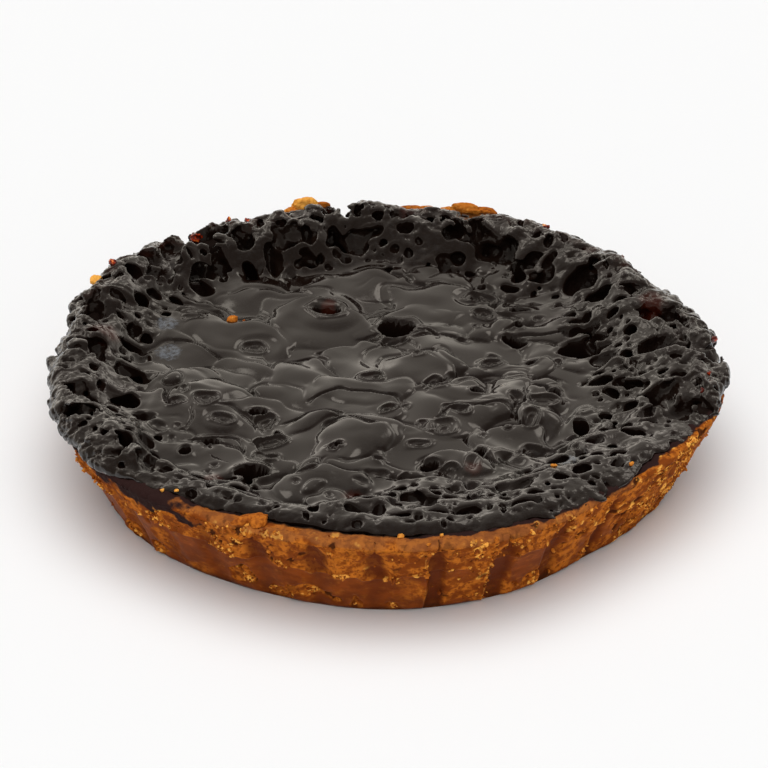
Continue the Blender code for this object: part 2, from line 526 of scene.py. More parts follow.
# The largest burst bubbles: degrees round from +X, mm out, half-width, half-length, depth
BURSTS = (
    (81, 18, 3.1, 3.0, 2.6), (-177, 44.5, 2.7, 3.0, 3.4), (-164, 45.5, 2.5, 3.6, 3.4),
    (113, 25.4, 2.4, 1.5, 1.2), (124, 46, 1.3, 4.2, 3.6), (117, 46, 1.4, 4.8, 3.8),
    (61, 50, 2.4, 3.2, 3.2), (40, 48, 2.8, 3.6, 3.4), (31, 47, 2.7, 3.0, 3.2),
    (13, 36, 3.8, 2.4, 3.0), (28, 27, 1.9, 1.6, 2.2), (3, 49, 2.4, 3.8, 3.4),
    (-29, 39, 1.6, 2.2, 2.6), (-31, 49, 1.6, 3.0, 2.6), (-48, 50, 1.8, 1.3, 2.2),
    (-61, 46, 2.1, 1.4, 2.2), (-122, 39.5, 2.4, 1.7, 2.4), (-135, 48, 2.2, 1.4, 2.2),
    (-129, 47.5, 1.7, 1.4, 2.0), (-116, 49, 2.6, 1.3, 2.2), (-97, 41, 1.2, 1.7, 2.0),
    (-149, 25, 1.7, 1.1, 1.6), (-134, 27, 0.6, 0.7, 1.6), (96, 47, 2.2, 2.4, 2.6),
    (76, 48, 1.6, 2.2, 2.6), (-106, 47.5, 2.4, 0.8, 1.8), (-96, 41.7, 1.7, 1.5, 2.0),
    (-95, 49.2, 2.2, 0.9, 1.8), (-87, 50.6, 2.4, 0.8, 1.8), (-86, 53.6, 1.7, 0.45, 1.0),
    (-79, 50.9, 2.0, 0.6, 1.6), (-74, 50.8, 2.2, 1.0, 2.0), (-65, 52.9, 2.6, 0.6, 1.4),
    (-69, 47.4, 1.4, 0.8, 1.6), (-76, 32.3, 1.4, 1.2, 1.8), (-40, 50.8, 2.0, 0.9, 1.8),
    (-142, 48, 1.4, 1.0, 1.8), (164, 47.3, 1.2, 1.8, 2.2), (161, 52, 1.0, 1.4, 1.8),
    (104, 51.5, 1.4, 1.6, 2.2), (54, 49, 1.5, 1.5, 2.4), (54, 41.2, 1.6, 1.4, 2.2),
    (48, 45.7, 1.3, 1.2, 2.2), (43, 34.4, 1.6, 0.9, 1.8), (18, 50.2, 1.6, 1.8, 2.4),
    (26, 42.3, 1.3, 1.2, 2.0), (95, 52.4, 1.8, 1.3, 2.0), (145, 46.5, 1.3, 1.6, 2.2),
    (137, 46.7, 1.3, 2.6, 3.0), (149, 49.8, 1.3, 1.3, 2.0), (67, 43.6, 1.1, 1.0, 1.8),
)
# Where a grey-blue sheen is painted on the chocolate, and where it set thin and red-brown with painted light
# shining through it: degrees round from +X, mm out, radius
SHEEN_PATCHES = ((157, 42.5, 2.4), (168, 39.2, 2.7), (-47, 45.3, 2.0))
THIN_AND_BACKLIT = ((112, 26.6, 1.5), (-96, 41.7, 2.0), (-65, 36, 1.6), (172, 50, 2.4), (-128, 45, 1.8), (20, 52, 2.5))
# Craters that dried as rings in the pool: degrees round from +X, mm out, radius
RINGS = (
    (-161, 33, 2.4), (-149, 32, 2.0), (156, 24.5, 2.3), (-139, 3, 1.4), (-106, 29, 1.4), (12, 20, 1.8),
    (113, 25, 3.6), (-60, 22, 2.2), (-20, 30, 2.0), (-85, 14, 1.8), (60, 33, 1.9),
)


def pool_edge(angle):
    """How far from the middle the froth starts: nearest at the front and the right."""
    near_front = np.exp(-((away_from(angle, -90) / 22) ** 2))
    return 41.8 - 2.4 * np.cos(angle - math.radians(10)) - 3.5 * near_front


class Relief:
    """The height of the filling's top over a fine square grid, before bubbles are taken out of it."""

    def __init__(self, rng, reach, step):
        count = int(round(2 * reach / step)) + 1
        self.axes = [np.linspace(-reach, reach, count)] * 2
        self.step, self.reach = step, reach
        self.x, self.y = np.meshgrid(*self.axes, indexing="ij")
        self.bent = [
            grid + 0.5 * relief(rng, self.axes, 2.6) + 0.06 * relief(rng, self.axes, 1.0)
            for grid in (self.x, self.y)
        ]
        self.wavy = [
            grid + 1.1 * relief(rng, self.axes, 4.2) + 0.35 * relief(rng, self.axes, 1.9)
            for grid in (self.x, self.y)
        ]
        self.height = np.zeros_like(self.x)

    def window(self, x, y, reach):
        """The part of the grid within reach of a place."""
        at = [int((v + self.reach) / self.step) for v in (x, y)]
        span = int(reach / self.step) + 1
        return tuple(slice(max(a - span, 0), a + span) for a in at)

    def egg(self, bent, x, y, radius, stretch, turn):
        """The window round an egg in a bent grid and, in it, the two ways from its middle and the
        distance out across it."""
        part = self.window(x, y, radius * max(stretch, 1) + 3)
        dx, dy = bent[0][part] - x, bent[1][part] - y
        along = (dx * math.cos(turn) + dy * math.sin(turn)) / stretch
        across = dy * math.cos(turn) - dx * math.sin(turn)
        return part, dx, dy, np.hypot(along, across)

    def stamp(self, x, y, radius, stretch, turn, profile):
        """Adds a height that depends on how far out in a bent egg a place is, in millimetres."""
        part, _, _, out = self.egg(self.bent, x, y, radius, stretch, turn)
        self.height[part] += profile(out, radius)

    def lobe(self, x, y, radius, stretch, turn, level, tilt, crease):
        """Lays a lobe with a rounded edge over what is there, and a crease behind it, and keeps the
        higher."""
        part, dx, dy, out = self.egg(self.wavy, x, y, radius, stretch, turn)
        inside = radius - out
        beyond = np.exp(-(((inside + 0.3) / 0.3) ** 2)) * smooth(0, 0.6 * radius, dy)
        self.height[part] -= crease * beyond
        roll = 0.6 * np.clip(1 - inside / 3.2, 0, 1) ** 2
        brow = 1.1 * (1 - np.sqrt(1 - np.clip(1 - inside, 0, 1) ** 2)) + 3 * np.maximum(-inside, 0)
        height = level + tilt[0] * dx + tilt[1] * dy - roll - brow
        self.height[part] = run_together(height, self.height[part], 0.16)

    def calm(self, x, y, radius, most):
        """Levels what is there over a round place."""
        part = self.window(x, y, 2 * radius + 1)
        far = np.hypot(self.x[part] - x, self.y[part] - y) / radius
        level = self.at(x, y) + 0.05 * (self.y[part] - y)
        self.height[part] += most * (1 - smooth(1.1, 2.0, far)) * (level - self.height[part])

    def at(self, x, y, values=None):
        """The height, or another grid's value, at any places."""
        grid = self.height if values is None else values
        return look_up(grid, (-self.reach, -self.reach), self.step, x, y)


def ring(depth):
    """A crater with a raised rim, and a lower ring inside it."""

    def profile(out, radius):
        bowl = -depth * (1 - smooth(0.45 * radius, radius, out))
        rim = 0.42 * depth * np.exp(-(((out - radius) / 0.36) ** 2))
        inner = 0.5 * depth * np.exp(-(((out - 0.45 * radius) / 0.26) ** 2))
        return bowl + rim + inner

    return profile


def dome(height):
    """A blister that didn't burst, with a crease round it."""

    def profile(out, radius):
        crease = 0.14 * np.exp(-(((out - radius - 0.15) / 0.3) ** 2))
        return height * np.sqrt(np.maximum(1 - (out / radius) ** 2, 0)) - crease

    return profile


def dimple(depth):
    """A smooth hollow with a soft rim."""

    def profile(out, radius):
        rim = 0.3 * np.exp(-(((out - 1.15 * radius) / (0.3 * radius)) ** 2))
        return depth * (rim - np.exp(-((out / (0.72 * radius)) ** 2)))

    return profile


def hole(depth):
    """A burst bubble with steep walls and a rounded mouth."""

    def profile(out, radius):
        mouth = 0.22 * np.exp(-(((out - 1.3 * radius) / 0.5) ** 2))
        return mouth - depth * (1 - smooth(0.7 * radius, 1.04 * radius, out))

    return profile


def sheet_edge(angle):
    """Where the sheet of the pool ends and the solid froth starts."""
    return pool_edge(angle) - 4.6


def polar(degrees, out):
    """x and y of a place given in degrees round from +X and how far out it is."""
    turn = math.radians(degrees)
    return out * math.cos(turn), out * math.sin(turn)


def make_top(rng):
    """The filling's top: plates and craters in the pool, and the lumpy hill of the froth round it."""
    filling = bpy.context.scene.tart_filling
    top = Relief(rng, TOP_REACH, TOP_STEP)
    angle = np.arctan2(top.y, top.x)
    out = np.hypot(top.x, top.y)
    edge = pool_edge(angle) + 1.8 * relief(rng, top.axes, 7.0)
    lip = lip_radius(angle)
    share = (out - edge) / (lip - edge)
    froth = smooth(-0.2, 0.35, share)
    front = bareness(angle, BARE_FRONT)
    crest = filling.crest + (filling.bare_crest - filling.crest) * front
    crest = crest / MM + hills(angle, CREST_RISES)
    level = filling.pool_level / MM
    # the froth rises from the pool to its crest and then falls to the brink over the rim
    hill = (crest - level) * smooth(-0.1, 0.62, share)
    brink = rim_height(angle) + 1.7 - (1.5 + 0.3 * smooth(28, 14, away_from(angle, -98))) * front - level
    hill += (brink - hill) * smooth(0.8, 1.0, share)
    # the pool's unevenness fades out under the froth, which has lumps of its own
    top.height = -0.8 + 0.3 * relief(rng, top.axes, 6.0)
    lay_lobes(rng, top)
    top.height += 0.4 * relief(rng, top.axes, 8.0) + 0.12 * relief(rng, top.axes, 3.2)
    top.height *= 1 - (0.85 - 0.45 * front) * froth
    stamp_craters(rng, top)
    lumps = 0.3 * relief(rng, top.axes, 3.6) + 0.3 * relief(rng, top.axes, 1.7)
    lumps *= froth * (1 - front * (0.35 + 0.5 * smooth(0.6, 0.95, share)))
    top.height *= 1 - 0.4 * froth - 0.5 * front * smooth(0.6, 0.95, share)
    top.height += level + hill + lumps
    for degrees, far, half_width, half_length, depth in BURSTS:
        if far < POOL_BURSTS:
            top.calm(*polar(degrees, far), half_length, 0.7)
            top.stamp(*polar(degrees, far), half_length, half_width / half_length, 0, hole(2.2 * depth))
    top.froth, top.share = froth, share
    return top


def lay_lobes(rng, top):
    """Skins of set chocolate that ran over one another, longer from side to side than to the back."""
    for _ in range(185):
        x, y = rng.uniform(-48, 48, 2)
        crowded = float(smooth(-25, 25, x - 0.7 * y + 8 * rng.normal()))
        radius = rng.uniform(3.6, 8.5) * (1 - 0.42 * crowded)
        tilt = (rng.normal() * 0.03, 0.085 + rng.normal() * 0.03)
        level = rng.uniform(-0.5, 0.3) + 0.03 * (6 - radius)
        crease = 0.9 * rng.uniform() ** 1.5
        top.lobe(x, y, radius, rng.uniform(1.1, 1.9), rng.normal() * 0.6, level, tilt, crease)


def stamp_craters(rng, top):
    """Rings, blisters and dimples over the pool, most of them towards the right and the front."""
    for degrees, out, radius in RINGS:
        top.calm(*polar(degrees, out), radius, 0.9)
        top.stamp(*polar(degrees, out), radius, rng.uniform(0.85, 1.2), rng.uniform(0, 3), ring(0.55))
    kept = np.zeros((0, 3))
    for _ in range(520):
        x, y = rng.uniform(-POOL_REACH, POOL_REACH, 2)
        radius = rng.uniform(0.8, 2.3)
        crowded = 0.2 + 0.009 * x - 0.009 * y + 0.5 * smooth(26, 42, math.hypot(x, y))
        kind = rng.choice(4, p=(0.4, 0.2, 0.25, 0.15))
        turn, stretch = rng.uniform(0, math.pi), rng.uniform(0.8, 1.5)
        clear = np.hypot(kept[:, 0] - x, kept[:, 1] - y) > 1.25 * (kept[:, 2] + radius)
        if rng.uniform() > crowded or math.hypot(x, y) > POOL_REACH or not clear.all():
            continue
        kept = np.vstack((kept, (x, y, radius)))
        profile = (ring(0.34 * radius), dome(0.34 * radius), dimple(0.5 * radius), hole(1.4 * radius))[kind]
        if kind == 3:
            radius *= 0.6
        top.stamp(x, y, radius, stretch, turn, profile)


def joined_part(quads, count):
    """The quads of the largest joined part of a mesh with this many corners."""
    label = np.arange(count)
    while True:
        lowest = label[quads].min(1)
        spread = label.copy()
        np.minimum.at(spread, quads.ravel(), np.repeat(lowest, 4))
        spread = spread[spread]
        if (spread == label).all():
            break
        label = spread
    return quads[label[quads[:, 0]] == np.bincount(label[quads[:, 0]]).argmax()]


def pack_discs(rng, allowed):
    """Discs scattered without touching, the largest first, clear of the bursts: x, y and radius."""
    bursts = [burst for burst in BURSTS if burst[1] >= POOL_BURSTS]
    placed = np.array([(*polar(turn, far), 1.1 * math.sqrt(w * h)) for turn, far, w, h, _ in bursts])
    first = len(placed)
    for radius, attempts in BUBBLE_SIZES:
        for x, y in rng.uniform(-FROTH_REACH, FROTH_REACH, (attempts, 2)):
            size = radius * rng.uniform(0.8, 1.2)
            clear = np.hypot(placed[:, 0] - x, placed[:, 1] - y) > 1.14 * (placed[:, 2] + size)
            if clear.all() and allowed(x, y, size):
                placed = np.vstack((placed, (x, y, size)))
    return placed[first:]


def body_of(rng, top):
    """The solid field of the froth, smooth over its top and hanging over the case at its outer edge."""
    case, filling = bpy.context.scene.tart_case, bpy.context.scene.tart_filling
    reach = top.reach
    low, high = (-reach, -reach, FROTH_LOW), (reach, reach, FROTH_HIGH)
    body = Dough(rng, low, high, filling.grain / MM, 0.4, 2.6)
    x, y = np.meshgrid(*body.axes[:2], indexing="ij")
    height = top.at(x, y)
    steep = np.sqrt(1 + np.minimum(sum(g * g for g in np.gradient(height, body.step)), 6))
    z = body.axes[2]
    body.field = ((z - height[..., None]) / steep[..., None]).astype(np.float32)
    angle, out = np.arctan2(y, x), np.hypot(x, y)
    rim, lip = rim_height(angle), lip_radius(angle)
    wall = wall_radius(angle, rim)
    neck = wall - case.wall / MM - 0.3
    ragged = 0.5 * relief(rng, body.axes[:2], 3.0) + 0.3 * relief(rng, body.axes[:2], 1.2)
    # the froth hangs down outside the wall where it covers the rim
    droop = (1 - bareness(angle)) * (1.4 + 0.6 * relief(rng, body.axes[:2], 5.0))
    droop += (1 - bareness(angle)) * 1.2 * np.exp(-((away_from(angle, -172) / 30) ** 2))
    under = rim - 0.4 - droop * smooth(0.2, 1.0, out - wall)
    side = (out - lip - ragged)[..., None] + 0.12 * (z - 18.5) ** 2
    width = 1.6 - 1.0 * bareness(angle, BARE_FRONT)[..., None]
    body.field = run_together(body.field, side, width)
    below = np.minimum((out - neck)[..., None], under[..., None] - z)
    body.field = run_together(body.field, below, 0.8).astype(np.float32)
    return body


def burst(rng, body, top):
    """Takes out the bubbles that burst while the filling set, the large ones first."""

    def allowed(px, py, size):
        if math.hypot(px, py) > FROTH_REACH:
            return False
        frothy, at = float(top.at(px, py, top.froth)), float(top.at(px, py, top.share))
        bare = float(bareness(np.arctan2(py, px)))
        outer = 1.02 - 0.25 * max(size - 0.5, 0) - 0.12 * bare
        return frothy > 0.25 + 0.1 * size and at < outer

    for degrees, far, half_width, half_length, depth in BURSTS:
        if far >= POOL_BURSTS:
            px, py = polar(degrees, far)
            centre = (px, py, float(top.at(px, py)) - 0.45 * depth)
            body.carve(centre, (half_length, half_width, depth), math.radians(degrees), 0.5)
    for px, py, size in pack_discs(rng, allowed):
        turn = math.atan2(py, px) + rng.normal() * 0.6
        deep = size * rng.uniform(1.0, 1.7)
        sizes = (size * rng.uniform(1.0, 1.4), size * rng.uniform(0.8, 1.0), deep)
        centre = (px, py, float(top.at(px, py)) - rng.uniform(0.35, 0.7) * deep)
        body.carve(centre, sizes, turn, 0.12 + 0.16 * size, rng.normal() * 0.25)


def caves(rng, body, top):
    """Opens uneven hollows between the bubbles, most of them on the right and at the back."""
    x, y = np.meshgrid(*body.axes[:2], indexing="ij")
    angle = np.arctan2(y, x)
    share, height = top.at(x, y, top.share), top.at(x, y)
    rear = smooth(66, 44, away_from(angle, 98))
    inner = 0.3 - 0.26 * rear
    where = smooth(inner, inner + 0.2 - 0.1 * rear, share) * smooth(0.97, 0.85, share)
    where *= 1 - 0.7 * bareness(angle, BARE_FRONT)
    level = 1.08 - 0.3 * smooth(62, 30, away_from(angle, 8)) - 0.3 * rear * smooth(0.75, 0.6, share)
    hollow = relief(rng, body.axes, 3.0) + 0.45 * relief(rng, body.axes, 1.4)
    hollow = 1.6 * (hollow - level[..., None]) - 3 * (1 - where[..., None])
    deep = np.clip((height - 2.8)[..., None] - body.axes[2], 0, 3)
    hollow = np.minimum(hollow - 0.8 * deep, 1.2)
    body.field = run_together(body.field, hollow, 0.4).astype(np.float32)


def pit_lip(rng, body):
    """Takes holes out of the lip's outer face."""
    for _ in range(420):
        turn = rng.uniform(-math.pi, math.pi)
        size = rng.choice((0.4, 0.55, 0.75), p=(0.4, 0.4, 0.2))
        if float(bareness(np.array(turn))) > 0.6:
            continue
        far = float(lip_radius(np.array(turn))) + rng.uniform(-0.3, 0.5) * size
        centre = (far * math.cos(turn), far * math.sin(turn), rng.uniform(16.2, 19.6))
        body.carve(centre, size * rng.uniform(0.8, 1.3, 3), turn, 0.15 + 0.2 * size)


def crumple(rng, body, top):
    """Creases the froth all over, down into its open bubbles, and most of all along its outside."""
    x, y = np.meshgrid(*body.axes[:2], indexing="ij")
    froth, share = top.at(x, y, top.froth), top.at(x, y, top.share)
    front = bareness(np.arctan2(y, x), BARE_FRONT)
    outer = smooth(0.3, 0.8, share) * (1 - 0.8 * front)
    for cell, within, beyond in CREASES:
        size = froth * (within * (1 - 0.6 * front) + (beyond - within) * outer)
        creases = np.minimum(np.abs(relief(rng, body.axes, cell)), 0.9) - 0.35
        body.field -= size[..., None] * creases


def spotted(places, spots, softness):
    """1 in the middle of each spot, given in degrees round from +X, mm out and radius, and 0 far off."""
    shown = np.zeros(len(places))
    for degrees, out, radius in spots:
        x, y = polar(degrees, out)
        far = np.hypot(places[:, 0] - x, places[:, 1] - y) / radius
        shown = np.maximum(shown, 1 - smooth(1 - softness, 1 + softness, far))
    return shown


def chocolate_looks(top, places):
    """What the chocolate is like at each corner, for its material, with where its sheen and the light through
    thin chocolate are painted.
    """
    x, y, z = places.T
    froth = top.at(x, y, top.froth)
    # thin red-brown painted high on the back of the crest, where light from behind would shine through
    behind = smooth(18.6, 20.2, z) * smooth(0.5, 0.9, top.at(x, y, top.share)) * smooth(-10, 40, y)
    return {
        "froth": froth,
        "sheen_patch": spotted(places, SHEEN_PATCHES, 0.6),
        "thin_and_backlit": np.maximum(spotted(places, THIN_AND_BACKLIT, 0.7), 0.5 * behind),
    }


def chocolate(name):
    """Dark chocolate boiled with sugar and set: nearly black, and seen by what its glossy skin reflects. It
    shows red-brown where it is thin, partly its own colour and partly painted light shining through it, and a
    painted grey-blue sheen in a few patches."""
    colours = bpy.context.scene.tart_colours
    material, tree, output = new_material(name)
    place = tree.nodes.new("ShaderNodeTexCoord").outputs["Object"]
    read = {
        key: add_node(tree, "ShaderNodeAttribute", {"attribute_name": key}).outputs["Fac"]
        for key in ("froth", "sheen_patch", "thin_and_backlit")
    }
    # patterns by the size of their marks in millimetres
    noise = {
        key: add_node(
            tree, "ShaderNodeTexNoise", Vector=place, Scale=1 / (size * MM), Detail=detail
        ).outputs["Fac"]
        for key, size, detail in (("clouds", 2.6, 4), ("specks", 0.7, 3), ("skin", 0.42, 2))
    }
    # red-brown where the chocolate is thin: its own colour, with painted light shining through it
    patchy = add_node(
        tree, "ShaderNodeMath", SCALE_AND_ADD,
        Value_0=noise["clouds"], Value_1=1.4, Value_2=read["thin_and_backlit"],
    )
    thin_and_backlit = add_node(
        tree, "ShaderNodeMapRange", SMOOTHLY, Value=patchy.outputs["Value"],
        From_Min=0.9, From_Max=1.7, To_Min=0, To_Max=1,
    )
    # painted grey-blue sheen over a few patches, which are also rougher
    speckled_sheen = add_node(
        tree, "ShaderNodeMath", {"operation": "MULTIPLY"}, Value_0=read["sheen_patch"], Value_1=noise["specks"]
    )
    sheen_patch = add_node(
        tree, "ShaderNodeMapRange", SMOOTHLY, Value=speckled_sheen.outputs["Value"],
        From_Min=0.25, From_Max=0.65, To_Min=0, To_Max=0.6,
    )
    body = add_node(
        tree, "ShaderNodeMix", MIX_COLOURS, _0=thin_and_backlit.outputs["Result"],
        _6=(*colours.chocolate, 1), _7=(*colours.thin_and_backlit, 1),
    )
    colour = add_node(
        tree, "ShaderNodeMix", MIX_COLOURS, _0=sheen_patch.outputs["Result"],
        _6=body.outputs[2], _7=(*colours.sheen_patch, 1),
    )
    dull = add_node(
        tree, "ShaderNodeMapRange", SMOOTHLY, Value=noise["specks"],
        From_Min=0.35, From_Max=0.7, To_Min=0.07, To_Max=0.17,
    )
    roughness = add_node(
        tree, "ShaderNodeMath", SCALE_AND_ADD,
        Value_0=sheen_patch.outputs["Result"], Value_1=0.4, Value_2=dull.outputs["Result"],
    )
    wrinkled = add_node(
        tree, "ShaderNodeMapRange", SMOOTHLY, Value=read["froth"],
        From_Min=0.2, From_Max=1, To_Min=0.04, To_Max=0.28,
    )
    bump = add_node(
        tree, "ShaderNodeBump", Strength=wrinkled.outputs["Result"], Distance=0.12 * MM,
        Height=noise["skin"],
    )
    shader = add_node(
        tree, "ShaderNodeBsdfPrincipled", Base_Color=colour.outputs[2], IOR=1.5,
        Roughness=roughness.outputs["Value"], Normal=bump.outputs["Normal"],
    )
    tree.links.new(shader.outputs["BSDF"], output.inputs["Surface"])
    return material


def add_pool(top, material):
    """The smooth middle, as a sheet over the fine grid that reaches a little under the froth."""
    every = 2
    x, y, height = (grid[::every, ::every] for grid in (top.x, top.y, top.height))
    slopes = np.gradient(top.height, top.step)
    normals = np.dstack((-slopes[0], -slopes[1], np.ones_like(top.height)))[::every, ::every]
    normals /= np.linalg.norm(normals, axis=2)[..., None]
    kept = np.hypot(x, y) < sheet_edge(np.arctan2(y, x)) + 0.7
    full = kept[:-1, :-1] & kept[1:, :-1] & kept[1:, 1:] & kept[:-1, 1:]
    index = np.arange(x.size).reshape(x.shape)
    quads = np.stack((index[:-1, :-1], index[1:, :-1], index[1:, 1:], index[:-1, 1:]), -1)[full]
    used, quads = np.unique(quads, return_inverse=True)
    places = np.stack((x, y, height), -1).reshape(-1, 3)[used]
    quads, normals = quads.reshape(-1, 4), normals.reshape(-1, 3)[used]
    looks = chocolate_looks(top, places)
    return mesh_object("pool", places, quads, material, normals, POOL_BOTTOM, **looks)


class TART_OT_filling(bpy.types.Operator):
    """Makes the filling: the glossy pool, and the froth round it in three parts"""

    bl_idname = "tart.filling"
    bl_label = "Filling"

    def execute(self, context):
        rng = np.random.default_rng(context.scene.tart_filling.bubbles)
        top = make_top(rng)
        body = body_of(rng, top)
        burst(rng, body, top)
        caves(rng, body, top)
        pit_lip(rng, body)
        body.soften()
        crumple(rng, body, top)
        x, y = np.meshgrid(*body.axes[:2], indexing="ij")
        angle = np.degrees(np.arctan2(y, x))
        outside = np.hypot(x, y) > sheet_edge(np.radians(angle))
        material = chocolate("set_chocolate")
        pieces = [add_pool(top, material)]
        for name, start, end in FROTH_PARTS:
            keep = outside & ((angle - start) % 360 < end - start)
            places, quads = surface_net(body.field, keep[..., None])
            quads = joined_part(quads, len(places))
            used, quads = np.unique(quads, return_inverse=True)
            places = body.low + places[used] * body.step
            quads = quads.reshape(-1, 4)
            normals = body.slopes(places)
            looks = chocolate_looks(top, places)
            name = "froth_" + name
            pieces.append(mesh_object(name, places, quads, material, normals, FROTH_LOW, **looks))
        for piece in pieces:
            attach(piece, BODY)
            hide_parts("filling")
        return {"FINISHED"}


# ---------------------------------------------------------------- the case

BASE_CHAMFER = 0.9  # of the edge that the tart stands on
RIM_ROUNDING = 0.9
CASE_FLOOR = 4.0
STAND = 40.0  # radius of the plain middle of the underside and of the floor inside
UNDERSIDE_RING, FLOOR_RING = 46.0, 44.0  # radius of the next ring of each
WALL_SLANT = 1.09  # of the flared wall, for each millimetre of its height
MIDDLE_WAY = 55.0  # radius of the circle that patterns along the wall are measured on


class Case:
    """The case as a net round the axis: columns turn round it, and rows run from the middle of the
    underside out, up the outside, over the rim and down inside."""

    def __init__(self, rng, grain):
        case = bpy.context.scene.tart_case
        self.rng = rng
        count = int(math.tau * MIDDLE_WAY / grain)
        self.angle = (np.arange(count) * math.tau / count)[None, :]
        top = case.height / MM
        wall_rows = int((top - 2 * RIM_ROUNDING) * WALL_SLANT / grain)
        wall = np.linspace(BASE_CHAMFER, top - RIM_ROUNDING, wall_rows)
        bend = np.linspace(0, math.pi / 2, 5)[1:]
        across = np.linspace(RIM_ROUNDING, case.wall / MM - RIM_ROUNDING, 8)[1:]
        # each row: height under an even rim, distance in from the outside, and a radius if it is flat
        rows = [(0, 0, STAND), (0, 0, UNDERSIDE_RING)]
        rows += [(0, BASE_CHAMFER, 0), (0.4 * BASE_CHAMFER, 0.3, 0)]
        rows += [(z, 0, 0) for z in wall]
        rows += [
            (top - RIM_ROUNDING * (1 - math.sin(b)), RIM_ROUNDING * (1 - math.cos(b)), 0) for b in bend
        ]
        rows += [(top, inset, 0) for inset in across]
        rows += [
            (top - RIM_ROUNDING * (1 - math.cos(b)), across[-1] + RIM_ROUNDING * math.sin(b), 0)
            for b in bend
        ]
        rows += [(z, case.wall / MM, 0) for z in (14, 11, 7, CASE_FLOOR)]
        rows += [(CASE_FLOOR, 0, FLOOR_RING), (CASE_FLOOR, 0, STAND)]
        height, inset, radius = (np.array(column)[:, None] for column in zip(*rows))
        steps = np.hypot(np.diff(height[:, 0]), np.diff(inset[:, 0]))
        self.along = np.concatenate(([0], np.cumsum(steps)))
        self.height = height * (1 + (rim_height(self.angle) / top - 1) * smooth(4, top, height))
        self.inset = inset
        self.flat = radius > 0
        plain = wall_radius(self.angle, self.height) - inset
        self.radius = np.where(self.flat, radius * plan(self.angle), plain)
        self.outside = (inset < RIM_ROUNDING) & ~self.flat
        self.top = rim_height(self.angle)

    def noise(self, cell, stretch=1.0):
        """A smooth random field over the net with bumps of this size, longer round by the stretch. Its
        spread is about a half."""
        turn = math.tau * MIDDLE_WAY
        weights = spline_weights(self.angle[0] * MIDDLE_WAY / stretch, cell, turn / stretch)
        up = spline_weights(self.along, cell)
        field = up @ self.rng.normal(size=(up.shape[1], weights.shape[1])) @ weights.T
        return field * 0.99

    def places(self):
        """The net's corners."""
        radius = self.radius + 0 * self.angle
        return np.stack(
            (radius * np.cos(self.angle), radius * np.sin(self.angle), self.height + 0 * self.angle), -1
        )

    def outward(self):
        """The net's normals."""
        places = self.places()
        round_way = np.roll(places, -1, 1) - np.roll(places, 1, 1)
        up_way = np.gradient(places, axis=0)
        normals = np.cross(round_way, up_way)
        return normals / np.maximum(np.linalg.norm(normals, axis=2), 1e-9)[..., None]


def press_flutes(net):
    """The grooves that the tin's flutes left: how far each corner is in one, the sharp edge beside it, how
    deep it is, and how dark it is coloured: browner pastry and painted shade."""
    case = bpy.context.scene.tart_case
    # right of the front and round the back the flutes are whole, and at the front only their arched
    # tops show in the band
    whole = smooth(31, 20, away_from(net.angle, -62)) + smooth(110, 150, away_from(net.angle, -70))
    arched = smooth(34, 22, away_from(net.angle, -92))
    # they are a few degrees off an even spacing at the front
    degrees = (np.degrees(net.angle) + 180) % 360 - 180
    uneven = 1.5 * smooth(-78, -66, degrees) + 2.3 * smooth(-62, -50, degrees) - 3.8 * smooth(0, 60, degrees)
    phase = (case.flutes * (degrees + 1 - uneven) + 16 * net.noise(5.0) + 180) % 360 - 180
    # each groove narrows to an arch a little under the rim
    under_rim = net.top - 1.9 + 1.2 * net.noise(3.0) - net.height
    narrow = np.sqrt(np.clip(under_rim / 3.2, 0.001, 1))
    soft = 1 - whole
    wide = phase / narrow
    groove = smooth(-62 - 50 * soft, -34 + 24 * soft, wide) * smooth(88 + 40 * soft, 34 - 20 * soft, wide)
    ridge = np.exp(-(((phase + 66) / 10) ** 2)) * whole * smooth(-0.5, 0.1, net.noise(2.4))
    above = smooth(-1.5, 0.5, net.height - case.band_height / MM)
    shown = np.clip(whole + arched * (0.15 + 0.85 * above), 0.12, 1)
    depth = case.flute_depth / MM * (0.3 + 0.7 * shown + 0.15 * net.noise(7.0))
    # how dark each groove is coloured, browner pastry with painted shade; at least half where little of the
    # groove shows, which paints soft upright shade
    browned_and_shaded = np.maximum(shown, 0.5) * np.clip(0.85 + 0.5 * net.noise(4.0), 0, 1)
    return groove, ridge, depth, browned_and_shaded


def tear_skin(net, groove, band):
    """Where the skin tore low on the wall, and where a piece came out with it."""
    low = np.exp(-(((net.height - 2.8) / 2.2) ** 2))
    tender = 0.85 + 0.35 * smooth(34, 20, away_from(net.angle, -122))
    patch = net.noise(2.4) + 0.45 * net.noise(1.1) + tender * low * (1 - 0.7 * groove) - 1.0
    torn = smooth(0.0, 0.14, patch) * (1 - band)
    hollow = np.exp(-(((patch - 0.14) / 0.1) ** 2)) * smooth(1.4, 3.0, net.height) * (1 - band)
    hollow *= smooth(-0.1, 0.3, net.noise(1.3))
    return torn, hollow


def crumble(net, on_wall, bare, coarse, pressed, band):
    """How crumbly each corner is, from 0 where it has a skin to 1: all the wall that is bare, patches
    at the front and far round to the left, and everything off the wall."""
    front = smooth(42, 30, away_from(net.angle, -50))
    far_left = smooth(26, 14, away_from(net.angle, -143))
    crumbly = np.clip(bare, 0, 1) * on_wall
    crumbly = np.maximum(crumbly, 0.6 * on_wall * front * smooth(-0.3, 0.2, coarse))
    crumbly = np.maximum(crumbly, 0.55 * on_wall * far_left * smooth(-0.2, 0.3, coarse))
    crumbly *= (1 - 0.5 * pressed) * (1 - 0.4 * smooth(0, 0.8, net.noise(2.4)) * band)
    return np.maximum(crumbly, 0.75 * (1 - on_wall))


